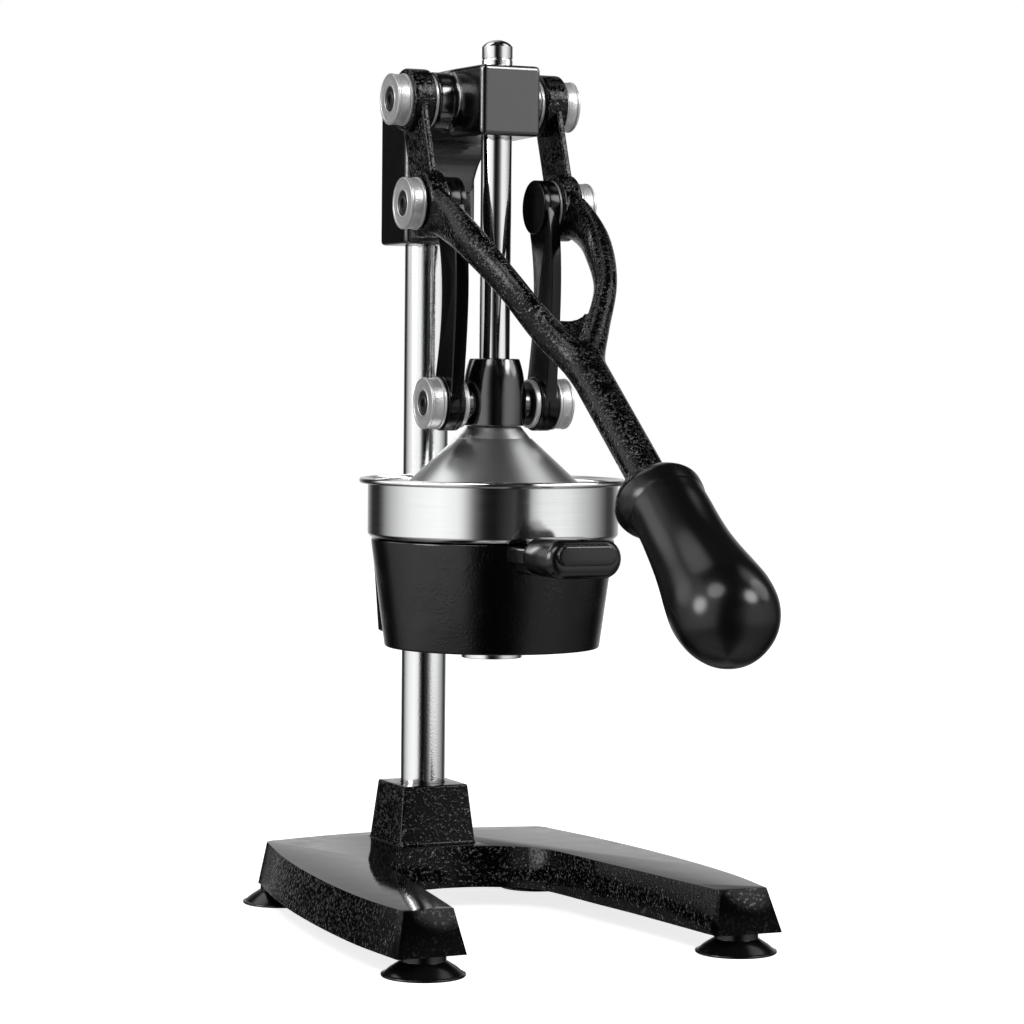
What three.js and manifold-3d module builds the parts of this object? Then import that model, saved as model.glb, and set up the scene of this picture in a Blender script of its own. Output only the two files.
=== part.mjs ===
// Lever citrus press, pressed down: cast base on four suction feet, one column, a clamped head,
// a fork lever with two curved links, a guided rod with its yoke and bell, and a bowl in its holder.
// Millimetres, +Z up. Everything is laid out from the axis of the rod, with the floor at zero height,
// and the last lines move the press so that the middle of its footprint is at the origin.
import * as THREE from 'three';
import { mergeVertices } from 'three/addons/utils/BufferGeometryUtils.js';
import Module from 'manifold-3d';

const wasm = await Module();
wasm.setup();

// Fits
const clearance = 0.3;
const overrun = 1;

// Facets
const fineSides = 36;
const roundSides = 20;
const smallSides = 12;
const sweepSides = 12;
const gripSides = 20;
const outlineSteps = 3;
const cornerSteps = 3;
const gussetSteps = 6;
const barSteps = 8;
const mergeDistance = 1e-4;
const sharpestTurnShare = 0.5;

// Suction feet
const lipRadius = 20.7;
const lipThickness = 1.2;
const footHeight = 10.6;
const footConeHeight = 6.8;
const footConeTopRadius = 12;
const footNeckRadius = 11.2;
const footDomeHeight = 3.2;
const footDomeRadius = 17;
const domeShoulderShare = 0.6;
const domeShoulderRiseShare = 0.8;
const footSpreadFront = 85.3;
const footSpreadRear = 76.5;
const footFrontReach = 114.5;
const footRearReach = 108.5;

// Base casting
const baseThickness = 22;
const baseEdge = 1.4;
const baseFrontReach = 121.5;
const baseCornerReach = 104;
const baseSideHalfWidths = [98.6, 102.6, 103, 101.2, 97.8, 92.4, 85];
const rearShoulderHalfWidth = 74;
const rearShoulderDepth = 13.4;
const rearCrownHalfWidth = 36;
const rearCrownDepth = 10.8;
const baseDraft = 4.6;
const throatHalfWidths = [72.6, 67.2, 62.4, 57, 52.3];
const throatStart = 20;
const throatCrown = 41;
const throatDraft = 3.4;
const baseWall = 5.5;
const baseTopWall = 6;
const ribThickness = 4;
const ribSetback = 2.5;
const armRibShares = [0.2, 0.46];
const footBossRadius = 12;
const columnBossRadius = 19;

// Pedestal
const pedestalHeight = 32;
const pedestalTopHalf = 18.3;
const pedestalFootHalf = 22.2;
const pedestalCorner = 3;
const pedestalEdge = 1.2;

// Column
const columnRadius = 12.15;
const columnReach = 91.9;
const columnEdge = 0.8;
const columnSeatDepth = 42;
const columnBoltRadius = 5;
const columnBoltHeadRadius = 9;
const columnBoltHeadHeight = 6;
const columnBoltGrip = 16;

// Rod
const rodRadius = 8;
const rodCrownHeight = 4.6;
const rodProudness = 14.3;
const rodGrooveDrop = 9.8;
const rodGrooveWidth = 1.2;
const rodGrooveDepth = 0.5;

// Head casting
const headRise = 16.9;
const headHeight = 35.3;
const headHalfWidth = 16.6;
const headFrontReach = 18.7;
const headEdge = 1.6;
const gussetRadius = 36;
const gussetStart = 40;
const sleeveHalfWidth = 20.4;
const sleeveHalfDepth = 18.6;
const sleeveHeight = 89.2;
const sleeveEdge = 2.2;
const bossRadius = 14.6;
const bossHalfSpan = 29;
const setScrewRadius = 4;
const headSetScrewDrops = [26, 66];

// Linkage
const upperPivotHeight = 431.6;
const upperPivotSetback = 20.9;
const middlePivotDrop = 54.7;
const middlePivotSetback = 1;
const lowerPivotDrop = 102.7;
const pinRadius = 5;
const washerRadius = 14;
const lowerWasherRadius = 12.7;
const upperBoltDepth = 14.5;
const lowerBoltDepth = 7.5;
const upperHubRadius = 16.3;
const middleHubRadius = 17.4;
const upperWasherThickness = 1.8;
const upperHubWidth = 12.4;
const upperArmHalf = 13.6;
const upperArmWaist = 12.4;
const ringThickness = 0.8;
const capRadius = 13.6;
const capThickness = 8;
const capEdge = 1;
const capGrooveShare = 0.55;
const capGrooveDepth = 0.7;
const capGrooveWidth = 1;
const socketRadius = 6.3;
const socketDepth = 3.2;
const socketSides = 12;
const lowerWasherThickness = 2.6;
const linkThickness = 9.2;
const linkHubRadius = 14.2;
const linkHalfWidth = 6.9;
const linkRootHalfWidth = 9;
const linkBow = 7;
const linkEdge = 1.6;
const middleHubWidth = 10.3;
const linkSpacerThickness = 1;

// Lever fork: its reach and drop run from the middle pivots to where the arms close
const forkReach = 108.2;
const forkDrop = 81;
const forkCloseHalfSpan = 2.9;
const armHalfWidth = 8;
const armHalfDepth = 9;
const armSteps = 12;
const armStationShares = [
  { spread: 1, reach: 0, drop: 0, width: 0.6, depth: 1.44 },
  { spread: 1, reach: 0.226, drop: 0.101, width: 0.62, depth: 1.29 },
  { spread: 0.923, reach: 0.465, drop: 0.267, width: 0.99, depth: 1.07 },
  { spread: 0.657, reach: 0.709, drop: 0.521, width: 1, depth: 0.93 },
  { spread: 0.24, reach: 0.86, drop: 0.799, width: 1.07, depth: 0.98 },
  { spread: 0, reach: 1, drop: 1, width: 1.05, depth: 1 },
];

// Lever shaft and its grip, measured along the shaft from where the fork closes
const shaftSlope = THREE.MathUtils.degToRad(37.07);
const shaftRadius = 9.65;
const shaftBackset = 8;
const shaftLength = 178;
const shaftEndEdge = 3;
const gripStart = 95;
const gripLength = 119.2;
const gripBulbRadius = 24.8;
const gripLift = 2.6;

// Each station's place along the grip, its radius, and how far its middle lies above the line of the shaft
const gripStationShares = [
  { place: 0, radius: 0.589, lift: -1 },
  { place: 0.017, radius: 0.685, lift: -0.962 },
  { place: 0.042, radius: 0.774, lift: -0.731 },
  { place: 0.08, radius: 0.867, lift: -0.423 },
  { place: 0.117, radius: 0.855, lift: -0.115 },
  { place: 0.151, radius: 0.806, lift: 0.385 },
  { place: 0.185, radius: 0.762, lift: 0.846 },
  { place: 0.252, radius: 0.754, lift: 1 },
  { place: 0.352, radius: 0.77, lift: 0.731 },
  { place: 0.453, radius: 0.806, lift: 0.538 },
  { place: 0.554, radius: 0.871, lift: 0.462 },
  { place: 0.654, radius: 0.952, lift: 0.423 },
  { place: 0.738, radius: 1, lift: 0.5 },
  { place: 0.814, radius: 0.98, lift: 0.654 },
  { place: 0.872, radius: 0.903, lift: 0.692 },
  { place: 0.923, radius: 0.762, lift: 0.577 },
  { place: 0.965, radius: 0.54, lift: 0.308 },
  { place: 0.99, radius: 0.323, lift: 0.077 },
  { place: 1, radius: 0.161, lift: 0 },
];

// Yoke
const yokeRise = 23.4;
const yokeHeight = 34.9;
const yokeTopRadius = 13;
const yokeRadius = 16.3;
const yokeFootRadius = 15.7;
const yokeTaperHeight = 11;
const yokeEdge = 1;
const yokeBossRadius = 7.4;
const yokeBossHalfSpan = 18.7;

// Bell
const bellTopRadius = 14;
const bellCollarRadius = 19.2;
const bellCollarHeight = 6.3;
const bellStep = 0.5;
const bellConeRadius = 47;
const bellSkirtRadius = 56;
const bellConeHeight = 31.5;
const bellHeight = 47.5;
const bellWall = 1.8;
const bellTopPlate = 3;
const bellScrewRadius = 3;
const bellScrewHeadRadius = 6;
const bellScrewHeadHeight = 3.4;
const bellScrewGrip = 12;

// Bowl
const pressGap = 11;
const bowlRimRise = 31.4;
const bowlRimProudness = 4.6;
const bowlBead = 3;
const bowlShoulderProudness = 1.8;
const bowlWall = 1.5;
const bowlShoulderDrop = 4;
const bowlFunnelRise = 4;
const spoutRadius = 15.9;
const spoutHeight = 9;

// Strainer with its juicing cone
const strainerWall = 1.5;
const strainerConeRadius = 35;
const strainerConeHeight = 32;
const strainerTipRadius = 7;

// Bowl holder
const holderTopRadius = 63.6;
const holderFootRadius = 56.3;
const holderHeight = 56.3;
const holderWall = 3.2;
const holderFloor = 3;
const holderEdge = 1.2;
const bracketHalfWidth = 23.4;
const bracketFootHalfWidth = 20.6;
const bracketHalfDepth = 22;
const bracketFootHalfDepth = 18.6;
const bracketCorner = 3;
const lugHalfWidth = 18.9;
const lugLength = 18.7;
const lugHeight = 8.5;
const lugDrop = 0.5;
const lugRibHalfWidth = 14;
const lugRibSetback = 4.3;
const lugRibHeight = 5.4;

// Bowl tang and grip
const tangHalfWidth = 9;
const tangThickness = 1.6;
const tangGripDepth = 16;
const bowlGripHalfWidth = 20.4;
const bowlGripHalfHeight = 9.3;
const bowlGripDrop = 2.6;
const bowlGripStandoff = 0.7;
const bowlGripLength = 30.6;
const bowlGripEdge = 2.6;
const bowlGripPadHalfWidth = 15.9;
const bowlGripPadHalfHeight = 5;
const bowlGripPadRise = 2;
const bowlGripPadProudness = 2.2;
const bowlGripPadEdge = 0.8;

// Finishes
const castBlack = new THREE.MeshStandardMaterial({ color: 0x0d0d0e, roughness: 0.35, metalness: 0.2 });
const castSmooth = new THREE.MeshStandardMaterial({ color: 0x0c0c0d, roughness: 0.25, metalness: 0.2 });
const chrome = new THREE.MeshStandardMaterial({ color: 0xc9cbce, roughness: 0.1, metalness: 1 });
const machined = new THREE.MeshStandardMaterial({ color: 0xb4b6b8, roughness: 0.3, metalness: 1 });
const stainless = new THREE.MeshStandardMaterial({ color: 0xbfc1c3, roughness: 0.28, metalness: 1 });
const rubber = new THREE.MeshStandardMaterial({ color: 0x101011, roughness: 0.55, metalness: 0 });
const plastic = new THREE.MeshStandardMaterial({ color: 0x131314, roughness: 0.4, metalness: 0 });

// Solids

function tidy(geometry) {
  const bare = geometry.index ? geometry.toNonIndexed() : geometry.clone();
  for (const name of Object.keys(bare.attributes)) {
    if (name !== 'position') bare.deleteAttribute(name);
  }
  const merged = mergeVertices(bare, mergeDistance);
  const kept = [];
  const index = merged.index.array;
  for (let i = 0; i < index.length; i += 3) {
    const [a, b, c] = [index[i], index[i + 1], index[i + 2]];
    if (a !== b && b !== c && c !== a) kept.push(a, b, c);
  }
  merged.setIndex(kept);
  if (volume(merged) < 0) {
    for (let i = 0; i < kept.length; i += 3) {
      [kept[i + 1], kept[i + 2]] = [kept[i + 2], kept[i + 1]];
    }
    merged.setIndex(kept);
  }
  return merged;
}

function volume(geometry) {
  const place = geometry.attributes.position;
  const index = geometry.index.array;
  const corners = [new THREE.Vector3(), new THREE.Vector3(), new THREE.Vector3()];
  let sum = 0;
  for (let i = 0; i < index.length; i += 3) {
    corners.forEach((corner, k) => corner.fromBufferAttribute(place, index[i + k]));
    sum += corners[0].dot(corners[1].cross(corners[2]));
  }
  return sum;
}

function solid(geometry) {
  const closed = tidy(geometry);
  return new wasm.Manifold(new wasm.Mesh({
    numProp: 3,
    vertProperties: Float32Array.from(closed.attributes.position.array),
    triVerts: Uint32Array.from(closed.index.array),
  }));
}

function join(...geometries) {
  return geometries.map(solid).reduce((whole, next) => whole.add(next));
}

function cut(whole, ...geometries) {
  return geometries.map(solid).reduce((left, next) => left.subtract(next), whole);
}

function toGeometry(manifold) {
  const mesh = manifold.getMesh();
  const geometry = new THREE.BufferGeometry();
  const places = new Float32Array(mesh.vertProperties);
  geometry.setAttribute('position', new THREE.BufferAttribute(places, 3));
  geometry.setIndex(Array.from(mesh.triVerts));
  return geometry;
}

// A revolve about the Z axis from [radius, height] pairs that start and end on the axis or close
function turned(profile, sides = roundSides) {
  const points = profile.map(([radius, height]) => new THREE.Vector2(radius, height));
  return new THREE.LatheGeometry(points, sides).rotateX(Math.PI / 2);
}

function disc(radius, low, high, sides = roundSides) {
  return turned([[0, low], [radius, low], [radius, high], [0, high]], sides);
}

// A revolve about a pin's axis: heights run outward along X on the side given by its sign
function turnedAcross(profile, side, pivot, sides = roundSides) {
  return turned(profile, sides).rotateY(side * Math.PI / 2).translate(0, -pivot.forward, pivot.height);
}

function tubeProfile(inner, outer, low, high) {
  return [[inner, low], [outer, low], [outer, high], [inner, high], [inner, low]];
}

// A plate standing in a YZ plane: its outline is in [forward, height], its thickness along X
function plateAcross(outline, low, high, edge) {
  const shape = new THREE.Shape(outline.map(([forward, height]) => new THREE.Vector2(-forward, height)));
  const geometry = new THREE.ExtrudeGeometry(shape, {
    depth: high - low - 2 * edge,
    bevelEnabled: edge > 0,
    bevelThickness: edge,
    bevelSize: edge,
    bevelOffset: -edge,
    bevelSegments: 1,
    curveSegments: smallSides,
  });
  const turn = new THREE.Matrix4().makeBasis(
    new THREE.Vector3(0, 1, 0),
    new THREE.Vector3(0, 0, 1),
    new THREE.Vector3(1, 0, 0),
  );
  return geometry.applyMatrix4(turn).translate(low + edge, 0, 0);
}

// A loft through closed rings of equal counts, with flat ends
function loft(rings) {
  const count = rings[0].length;
  const places = rings.flat().flatMap((point) => [point.x, point.y, point.z]);
  const index = [];
  for (let r = 0; r + 1 < rings.length; r += 1) {
    for (let k = 0; k < count; k += 1) {
      const a = r * count + k;
      const b = r * count + (k + 1) % count;
      index.push(a, b, b + count, a, b + count, a + count);
    }
  }
  const capOf = (ring) => {
    const normal = new THREE.Vector3();
    ring.forEach((point, k) => normal.add(new THREE.Vector3().crossVectors(point, ring[(k + 1) % count])));
    normal.normalize();
    const across = new THREE.Vector3().subVectors(ring[1], ring[0]).normalize();
    const up = new THREE.Vector3().crossVectors(normal, across);
    return THREE.ShapeUtils.triangulateShape(
      ring.map((point) => new THREE.Vector2(point.dot(across), point.dot(up))),
      [],
    );
  };
  const last = (rings.length - 1) * count;
  capOf(rings[0]).forEach(([a, b, c]) => index.push(a, c, b));
  capOf(rings[rings.length - 1]).forEach(([a, b, c]) => index.push(last + a, last + b, last + c));
  const geometry = new THREE.BufferGeometry();
  geometry.setAttribute('position', new THREE.BufferAttribute(new Float32Array(places), 3));
  geometry.setIndex(index);
  return geometry;
}

function roundedRectangle(halfWidth, halfDepth, corner, middle, height) {
  const ring = [];
  [[1, 1, 0], [-1, 1, 1], [-1, -1, 2], [1, -1, 3]].forEach(([sideX, sideY, quarter]) => {
    for (let k = 0; k <= cornerSteps; k += 1) {
      const angle = (quarter + k / cornerSteps) * Math.PI / 2;
      ring.push(new THREE.Vector3(
        sideX * (halfWidth - corner) + corner * Math.cos(angle),
        middle + sideY * (halfDepth - corner) + corner * Math.sin(angle),
        height,
      ));
    }
  });
  return ring;
}

const press = new THREE.Group();

function piece(name, shape, material) {
  const geometry = shape.isBufferGeometry ? tidy(shape) : toGeometry(shape);
  const mesh = new THREE.Mesh(geometry, material.clone());
  mesh.name = name;
  press.add(mesh);
  return mesh;
}

const sides = [['left', -1], ['right', 1]];

// Heights and reaches that several pieces share

const upperPivot = { forward: -upperPivotSetback, height: upperPivotHeight };
const middlePivot = { forward: -middlePivotSetback, height: upperPivotHeight - middlePivotDrop };
const lowerPivot = { forward: 0, height: middlePivot.height - lowerPivotDrop };
const headTop = upperPivotHeight + headRise;
const yokeTop = lowerPivot.height + yokeRise;
const yokeBottom = yokeTop - yokeHeight;
const bellTop = yokeBottom - clearance;
const bellBottom = bellTop - bellHeight;
const bowlShoulderHeight = bellBottom - pressGap;

// Base casting with its pedestal

const baseBottom = footHeight + clearance;
const baseTop = baseBottom + baseThickness;
const pedestalTop = baseTop + pedestalHeight;
const columnBottom = pedestalTop - columnSeatDepth;

function baseOutline() {
  const shoulderReach = baseCornerReach + rearShoulderDepth;
  const rearReach = shoulderReach + rearCrownDepth;
  const half = new THREE.Path();
  const sideStations = baseSideHalfWidths.map((halfWidth, k) => {
    const share = k / (baseSideHalfWidths.length - 1);
    const along = THREE.MathUtils.lerp(-baseFrontReach, baseCornerReach, share);
    return new THREE.Vector2(halfWidth, along);
  });
  const throatStations = throatHalfWidths.map((halfWidth, k) => {
    const share = k / (throatHalfWidths.length - 1);
    const along = THREE.MathUtils.lerp(-baseFrontReach, throatStart, share);
    return new THREE.Vector2(halfWidth, along);
  }).reverse();
  const throatHalf = throatStations[0].x;
  half.moveTo(0, throatStart + throatCrown);
  half.absellipse(0, throatStart, throatHalf, throatCrown, Math.PI / 2, 0, true);
  half.splineThru(throatStations.slice(1));
  const throatCount = half.getPoints(outlineSteps).length;
  half.lineTo(sideStations[0].x, sideStations[0].y);
  half.splineThru(sideStations.slice(1));
  half.quadraticCurveTo(baseSideHalfWidths.at(-1), shoulderReach, rearShoulderHalfWidth, shoulderReach);
  half.quadraticCurveTo(rearCrownHalfWidth, rearReach, 0, rearReach);
  const points = half.getPoints(outlineSteps);
  const tagged = points.map((point, k) => ({ point, draft: k < throatCount ? throatDraft : baseDraft }));
  const inner = tagged.slice(1, -1).reverse().map(({ point, draft }) => (
    { point: new THREE.Vector2(-point.x, point.y), draft }
  ));
  return [...tagged, ...inner];
}

// Each point of the outline moves out of the metal by its own draft, times a share
function drafted(outline, share, inset, height) {
  const count = outline.length;
  return outline.map(({ point, draft }, k) => {
    const before = outline[(k + count - 1) % count].point;
    const after = outline[(k + 1) % count].point;
    const incoming = new THREE.Vector2().subVectors(point, before).normalize();
    const outgoing = new THREE.Vector2().subVectors(after, point).normalize();
    const normal = new THREE.Vector2(incoming.y + outgoing.y, -incoming.x - outgoing.x).normalize();
    const sharpness = Math.max(normal.dot(new THREE.Vector2(incoming.y, -incoming.x)), sharpestTurnShare);
    const reach = (draft * share - inset) / sharpness;
    return new THREE.Vector3(point.x + normal.x * reach, point.y + normal.y * reach, height);
  });
}

const outline = baseOutline();
const edgeShare = baseEdge / baseThickness;
const plateBody = loft([
  drafted(outline, 1, baseEdge, baseBottom),
  drafted(outline, 1, 0, baseBottom + baseEdge),
  drafted(outline, edgeShare, 0, baseTop - baseEdge),
  drafted(outline, 0, baseEdge, baseTop),
]);
const pedestalBody = loft([
  roundedRectangle(pedestalFootHalf, pedestalFootHalf, pedestalCorner, columnReach, baseTop - overrun),
  roundedRectangle(pedestalTopHalf, pedestalTopHalf, pedestalCorner, columnReach, pedestalTop - pedestalEdge),
  roundedRectangle(
    pedestalTopHalf - pedestalEdge,
    pedestalTopHalf - pedestalEdge,
    pedestalCorner - pedestalEdge,
    columnReach,
    pedestalTop,
  ),
]);

// The underside is hollow: walls all round, a boss over each foot and one for the column bolt, and ribs
const ceiling = baseTop - baseTopWall;
const hollow = loft([
  drafted(outline, 1, baseWall, baseBottom - overrun),
  drafted(outline, baseTopWall / baseThickness, baseWall, ceiling),
]);
const feet = [['front', -footFrontReach, footSpreadFront], ['rear', footRearReach, footSpreadRear]].flatMap(
  ([end, along, spread]) => sides.map(([hand, side]) => ({ name: `${end}_${hand}`, x: side * spread, y: along })),
);
const bosses = [
  ...feet.map(({ x, y }) => disc(footBossRadius, baseBottom, ceiling + overrun, smallSides).translate(x, y, 0)),
  disc(columnBossRadius, baseBottom, ceiling + overrun).translate(0, columnReach, 0),
];

function widthAt(halfWidths, start, end, along) {
  const at = ((along - start) / (end - start)) * (halfWidths.length - 1);
  const before = Math.min(Math.max(Math.floor(at), 0), halfWidths.length - 2);
  return THREE.MathUtils.lerp(halfWidths[before], halfWidths[before + 1], at - before);
}

const rib = (side, along, inner) => {
  const outer = widthAt(baseSideHalfWidths, -baseFrontReach, baseCornerReach, along) - baseWall / 2;
  return new THREE.BoxGeometry(outer - inner, ribThickness, ceiling + overrun - baseBottom - ribSetback)
    .translate(side * (outer + inner) / 2, along, (ceiling + overrun + baseBottom + ribSetback) / 2);
};
const ribs = sides.flatMap(([, side]) => [
  rib(side, columnReach, columnBossRadius / 2),
  ...armRibShares.map((share) => {
    const along = THREE.MathUtils.lerp(-baseFrontReach, throatStart, share);
    return rib(side, along, widthAt(throatHalfWidths, -baseFrontReach, throatStart, along) + baseWall / 2);
  }),
]);
const boltHeadSeat = baseBottom + columnBoltHeadHeight + clearance;
piece('base_casting', cut(
  join(plateBody, pedestalBody).subtract(solid(hollow).subtract(join(...bosses, ...ribs))),
  disc(columnRadius + clearance, columnBottom - clearance, pedestalTop + overrun).translate(0, columnReach, 0),
  disc(columnBoltRadius + clearance, baseBottom - overrun, columnBottom, smallSides)
    .translate(0, columnReach, 0),
  disc(columnBoltHeadRadius + clearance, baseBottom - overrun, boltHeadSeat, smallSides)
    .translate(0, columnReach, 0),
), castBlack);

// Suction feet: a neck under the base, a cone and a thin lip round a hollow dome

const footProfile = [
  [0, footDomeHeight],
  [footDomeRadius * domeShoulderShare, footDomeHeight * domeShoulderRiseShare],
  [footDomeRadius, 0],
  [lipRadius - lipThickness / 2, 0],
  [lipRadius, lipThickness / 2],
  [lipRadius - lipThickness / 2, lipThickness],
  [footConeTopRadius, footConeHeight],
  [footNeckRadius, footConeHeight],
  [footNeckRadius, footHeight],
  [0, footHeight],
];
feet.forEach(({ name, x, y }) => {
  piece(`suction_foot_${name}`, turned(footProfile, roundSides).translate(x, y, 0), rubber);
});

// Column and the bolt that pulls it into the base

const columnTop = headTop - clearance;
piece('column', cut(
  join(turned([
    [0, columnBottom],
    [columnRadius - columnEdge, columnBottom],
    [columnRadius, columnBottom + columnEdge],
    [columnRadius, columnTop - columnEdge],
    [columnRadius - columnEdge, columnTop],
    [0, columnTop],
  ], fineSides)),
  disc(columnBoltRadius + clearance, columnBottom - overrun, columnBottom + columnBoltGrip + clearance, smallSides),
).translate([0, columnReach, 0]), chrome);
piece('column_bolt', turned([
  [0, baseBottom],
  [columnBoltHeadRadius, baseBottom],
  [columnBoltHeadRadius, baseBottom + columnBoltHeadHeight],
  [columnBoltRadius, baseBottom + columnBoltHeadHeight],
  [columnBoltRadius, columnBottom + columnBoltGrip],
  [0, columnBottom + columnBoltGrip],
], smallSides).translate(0, columnReach, 0), machined);

// Head casting: front block with the rod bore, bosses for the lever, gusset and sleeve

const headBottom = headTop - headHeight;
const sleeveFront = columnReach - sleeveHalfDepth;
const headProfile = [[headFrontReach, headBottom], [headFrontReach, headTop]];
headProfile.push([-columnReach, headTop], [-columnReach, headBottom - gussetRadius]);
for (let k = 0; k <= gussetSteps; k += 1) {
  const angle = (k / gussetSteps) * Math.PI / 2;
  headProfile.push([
    -sleeveFront - overrun + (sleeveFront - gussetStart) * (1 - Math.cos(angle)),
    headBottom - gussetRadius * (1 - Math.sin(angle)),
  ]);
}
const sleeveBottom = headTop - sleeveHeight;
const sleeveBody = loft([
  roundedRectangle(sleeveHalfWidth - sleeveEdge, sleeveHalfDepth - sleeveEdge, sleeveEdge, columnReach, sleeveBottom),
  roundedRectangle(sleeveHalfWidth, sleeveHalfDepth, sleeveEdge, columnReach, sleeveBottom + sleeveEdge),
  roundedRectangle(sleeveHalfWidth, sleeveHalfDepth, sleeveEdge, columnReach, headTop - headEdge),
  roundedRectangle(sleeveHalfWidth - headEdge, sleeveHalfDepth - headEdge, sleeveEdge, columnReach, headTop),
]);
const upperBoltEnd = bossHalfSpan - upperBoltDepth;
const sleeveBack = columnReach + sleeveHalfDepth;
const columnBack = columnReach + columnRadius;
const acrossHole = (radius, low, high, side, pivot) => (
  turnedAcross([[0, low], [radius, low], [radius, high], [0, high]], side, pivot, smallSides)
);
const rearHole = (radius, height) => disc(radius, columnReach, sleeveBack + sleeveHalfDepth, smallSides)
  .rotateX(-Math.PI / 2).translate(0, 0, height);
piece('head_casting', cut(
  join(
    plateAcross(headProfile, -headHalfWidth, headHalfWidth, headEdge),
    sleeveBody,
    turnedAcross([[0, -bossHalfSpan], [bossRadius, -bossHalfSpan], [bossRadius, bossHalfSpan],
      [0, bossHalfSpan]], 1, upperPivot),
  ),
  disc(rodRadius + clearance, headBottom - overrun, headTop + overrun),
  disc(columnRadius + clearance, sleeveBottom - overrun, headTop + overrun).translate(0, columnReach, 0),
  ...sides.map(([, side]) => (
    acrossHole(pinRadius + clearance, upperBoltEnd - clearance, bossHalfSpan + overrun, side, upperPivot)
  )),
  ...headSetScrewDrops.map((drop) => rearHole(setScrewRadius + clearance, headTop - drop)),
), castSmooth);
const setScrew = (height) => disc(setScrewRadius, columnBack + clearance, sleeveBack - clearance, smallSides)
  .rotateX(-Math.PI / 2).translate(0, 0, height);
piece('head_set_screw_upper', setScrew(headTop - headSetScrewDrops[0]), machined);
piece('head_set_screw_lower', setScrew(headTop - headSetScrewDrops[1]), machined);

// Pivot bolts: a capped shoulder bolt with a round socket, a dark ring under the cap and a washer.
// The upper ones thread into the head and the lower ones into the yoke. The middle ones end at the spacer,
// because the linkage is open there and the links swing beside them.

function pivotBolt(name, side, pivot, capInner, shankEnd) {
  const capOuter = capInner + capThickness;
  const groove = capInner + capThickness * capGrooveShare;
  const bolt = solid(turnedAcross([
    [0, shankEnd],
    [pinRadius, shankEnd],
    [pinRadius, capInner],
    [capRadius, capInner],
    [capRadius, groove - capGrooveWidth / 2],
    [capRadius - capGrooveDepth, groove],
    [capRadius, groove + capGrooveWidth / 2],
    [capRadius, capOuter - capEdge],
    [capRadius - capEdge, capOuter],
    [0, capOuter],
  ], side, pivot));
  const socket = turnedAcross(
    [[0, capOuter - socketDepth], [socketRadius, capOuter - socketDepth], [socketRadius, capOuter + overrun],
      [0, capOuter + overrun]],
    side,
    pivot,
    socketSides,
  );
  piece(name, cut(bolt, socket), machined);
}

const upperHubInner = bossHalfSpan + clearance + upperWasherThickness + clearance;
const upperHubOuter = upperHubInner + upperHubWidth;
const linkInner = yokeBossHalfSpan + clearance + lowerWasherThickness + clearance;
const linkOuter = linkInner + linkThickness;
const middleHubInner = linkOuter + clearance + linkSpacerThickness + clearance;
const middleHubOuter = middleHubInner + middleHubWidth;
const lowerBoltEnd = yokeBossHalfSpan - lowerBoltDepth;

sides.forEach(([hand, side]) => {
  const ringAt = (name, pivot, low) => piece(name, turnedAcross(
    tubeProfile(pinRadius + clearance, capRadius + clearance, low, low + ringThickness),
    side,
    pivot,
  ), rubber);
  const washerAt = (name, pivot, radius, low, high) => piece(name, turnedAcross(
    tubeProfile(pinRadius + clearance, radius, low, high),
    side,
    pivot,
  ), machined);
  const upperRing = upperHubOuter + clearance;
  ringAt(`upper_ring_${hand}`, upperPivot, upperRing);
  pivotBolt(`upper_pivot_bolt_${hand}`, side, upperPivot, upperRing + ringThickness + clearance, upperBoltEnd);
  washerAt(
    `upper_washer_${hand}`,
    upperPivot,
    washerRadius,
    bossHalfSpan + clearance,
    upperHubInner - clearance,
  );
  const middleRing = middleHubOuter + clearance;
  ringAt(`middle_ring_${hand}`, middlePivot, middleRing);
  pivotBolt(
    `middle_pivot_bolt_${hand}`,
    side,
    middlePivot,
    middleRing + ringThickness + clearance,
    linkOuter + clearance,
  );
  washerAt(
    `middle_spacer_${hand}`,
    middlePivot,
    washerRadius,
    linkOuter + clearance,
    middleHubInner - clearance,
  );
  const lowerRing = linkOuter + clearance;
  ringAt(`lower_ring_${hand}`, lowerPivot, lowerRing);
  pivotBolt(
    `lower_pivot_bolt_${hand}`,
    side,
    lowerPivot,
    lowerRing + ringThickness + clearance,
    lowerBoltEnd,
  );
  washerAt(
    `lower_washer_${hand}`,
    lowerPivot,
    lowerWasherRadius,
    yokeBossHalfSpan + clearance,
    linkInner - clearance,
  );
});

// A bar between two pivots in [forward, height], bowed forward, as an outline
function bowedBar(from, to, bow, middleHalf, endHalf) {
  const along = new THREE.Vector2(to.forward - from.forward, to.height - from.height);
  const across = new THREE.Vector2(-along.y, along.x).normalize();
  const front = [];
  const back = [];
  for (let k = 0; k <= barSteps; k += 1) {
    const share = k / barSteps;
    const crown = 4 * share * (1 - share);
    const half = THREE.MathUtils.lerp(endHalf, middleHalf, crown);
    const middle = [
      from.forward + along.x * share + across.x * bow * crown,
      from.height + along.y * share + across.y * bow * crown,
    ];
    front.push([middle[0] + across.x * half, middle[1] + across.y * half]);
    back.push([middle[0] - across.x * half, middle[1] - across.y * half]);
  }
  return [...front, ...back.reverse()];
}

// Links

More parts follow.
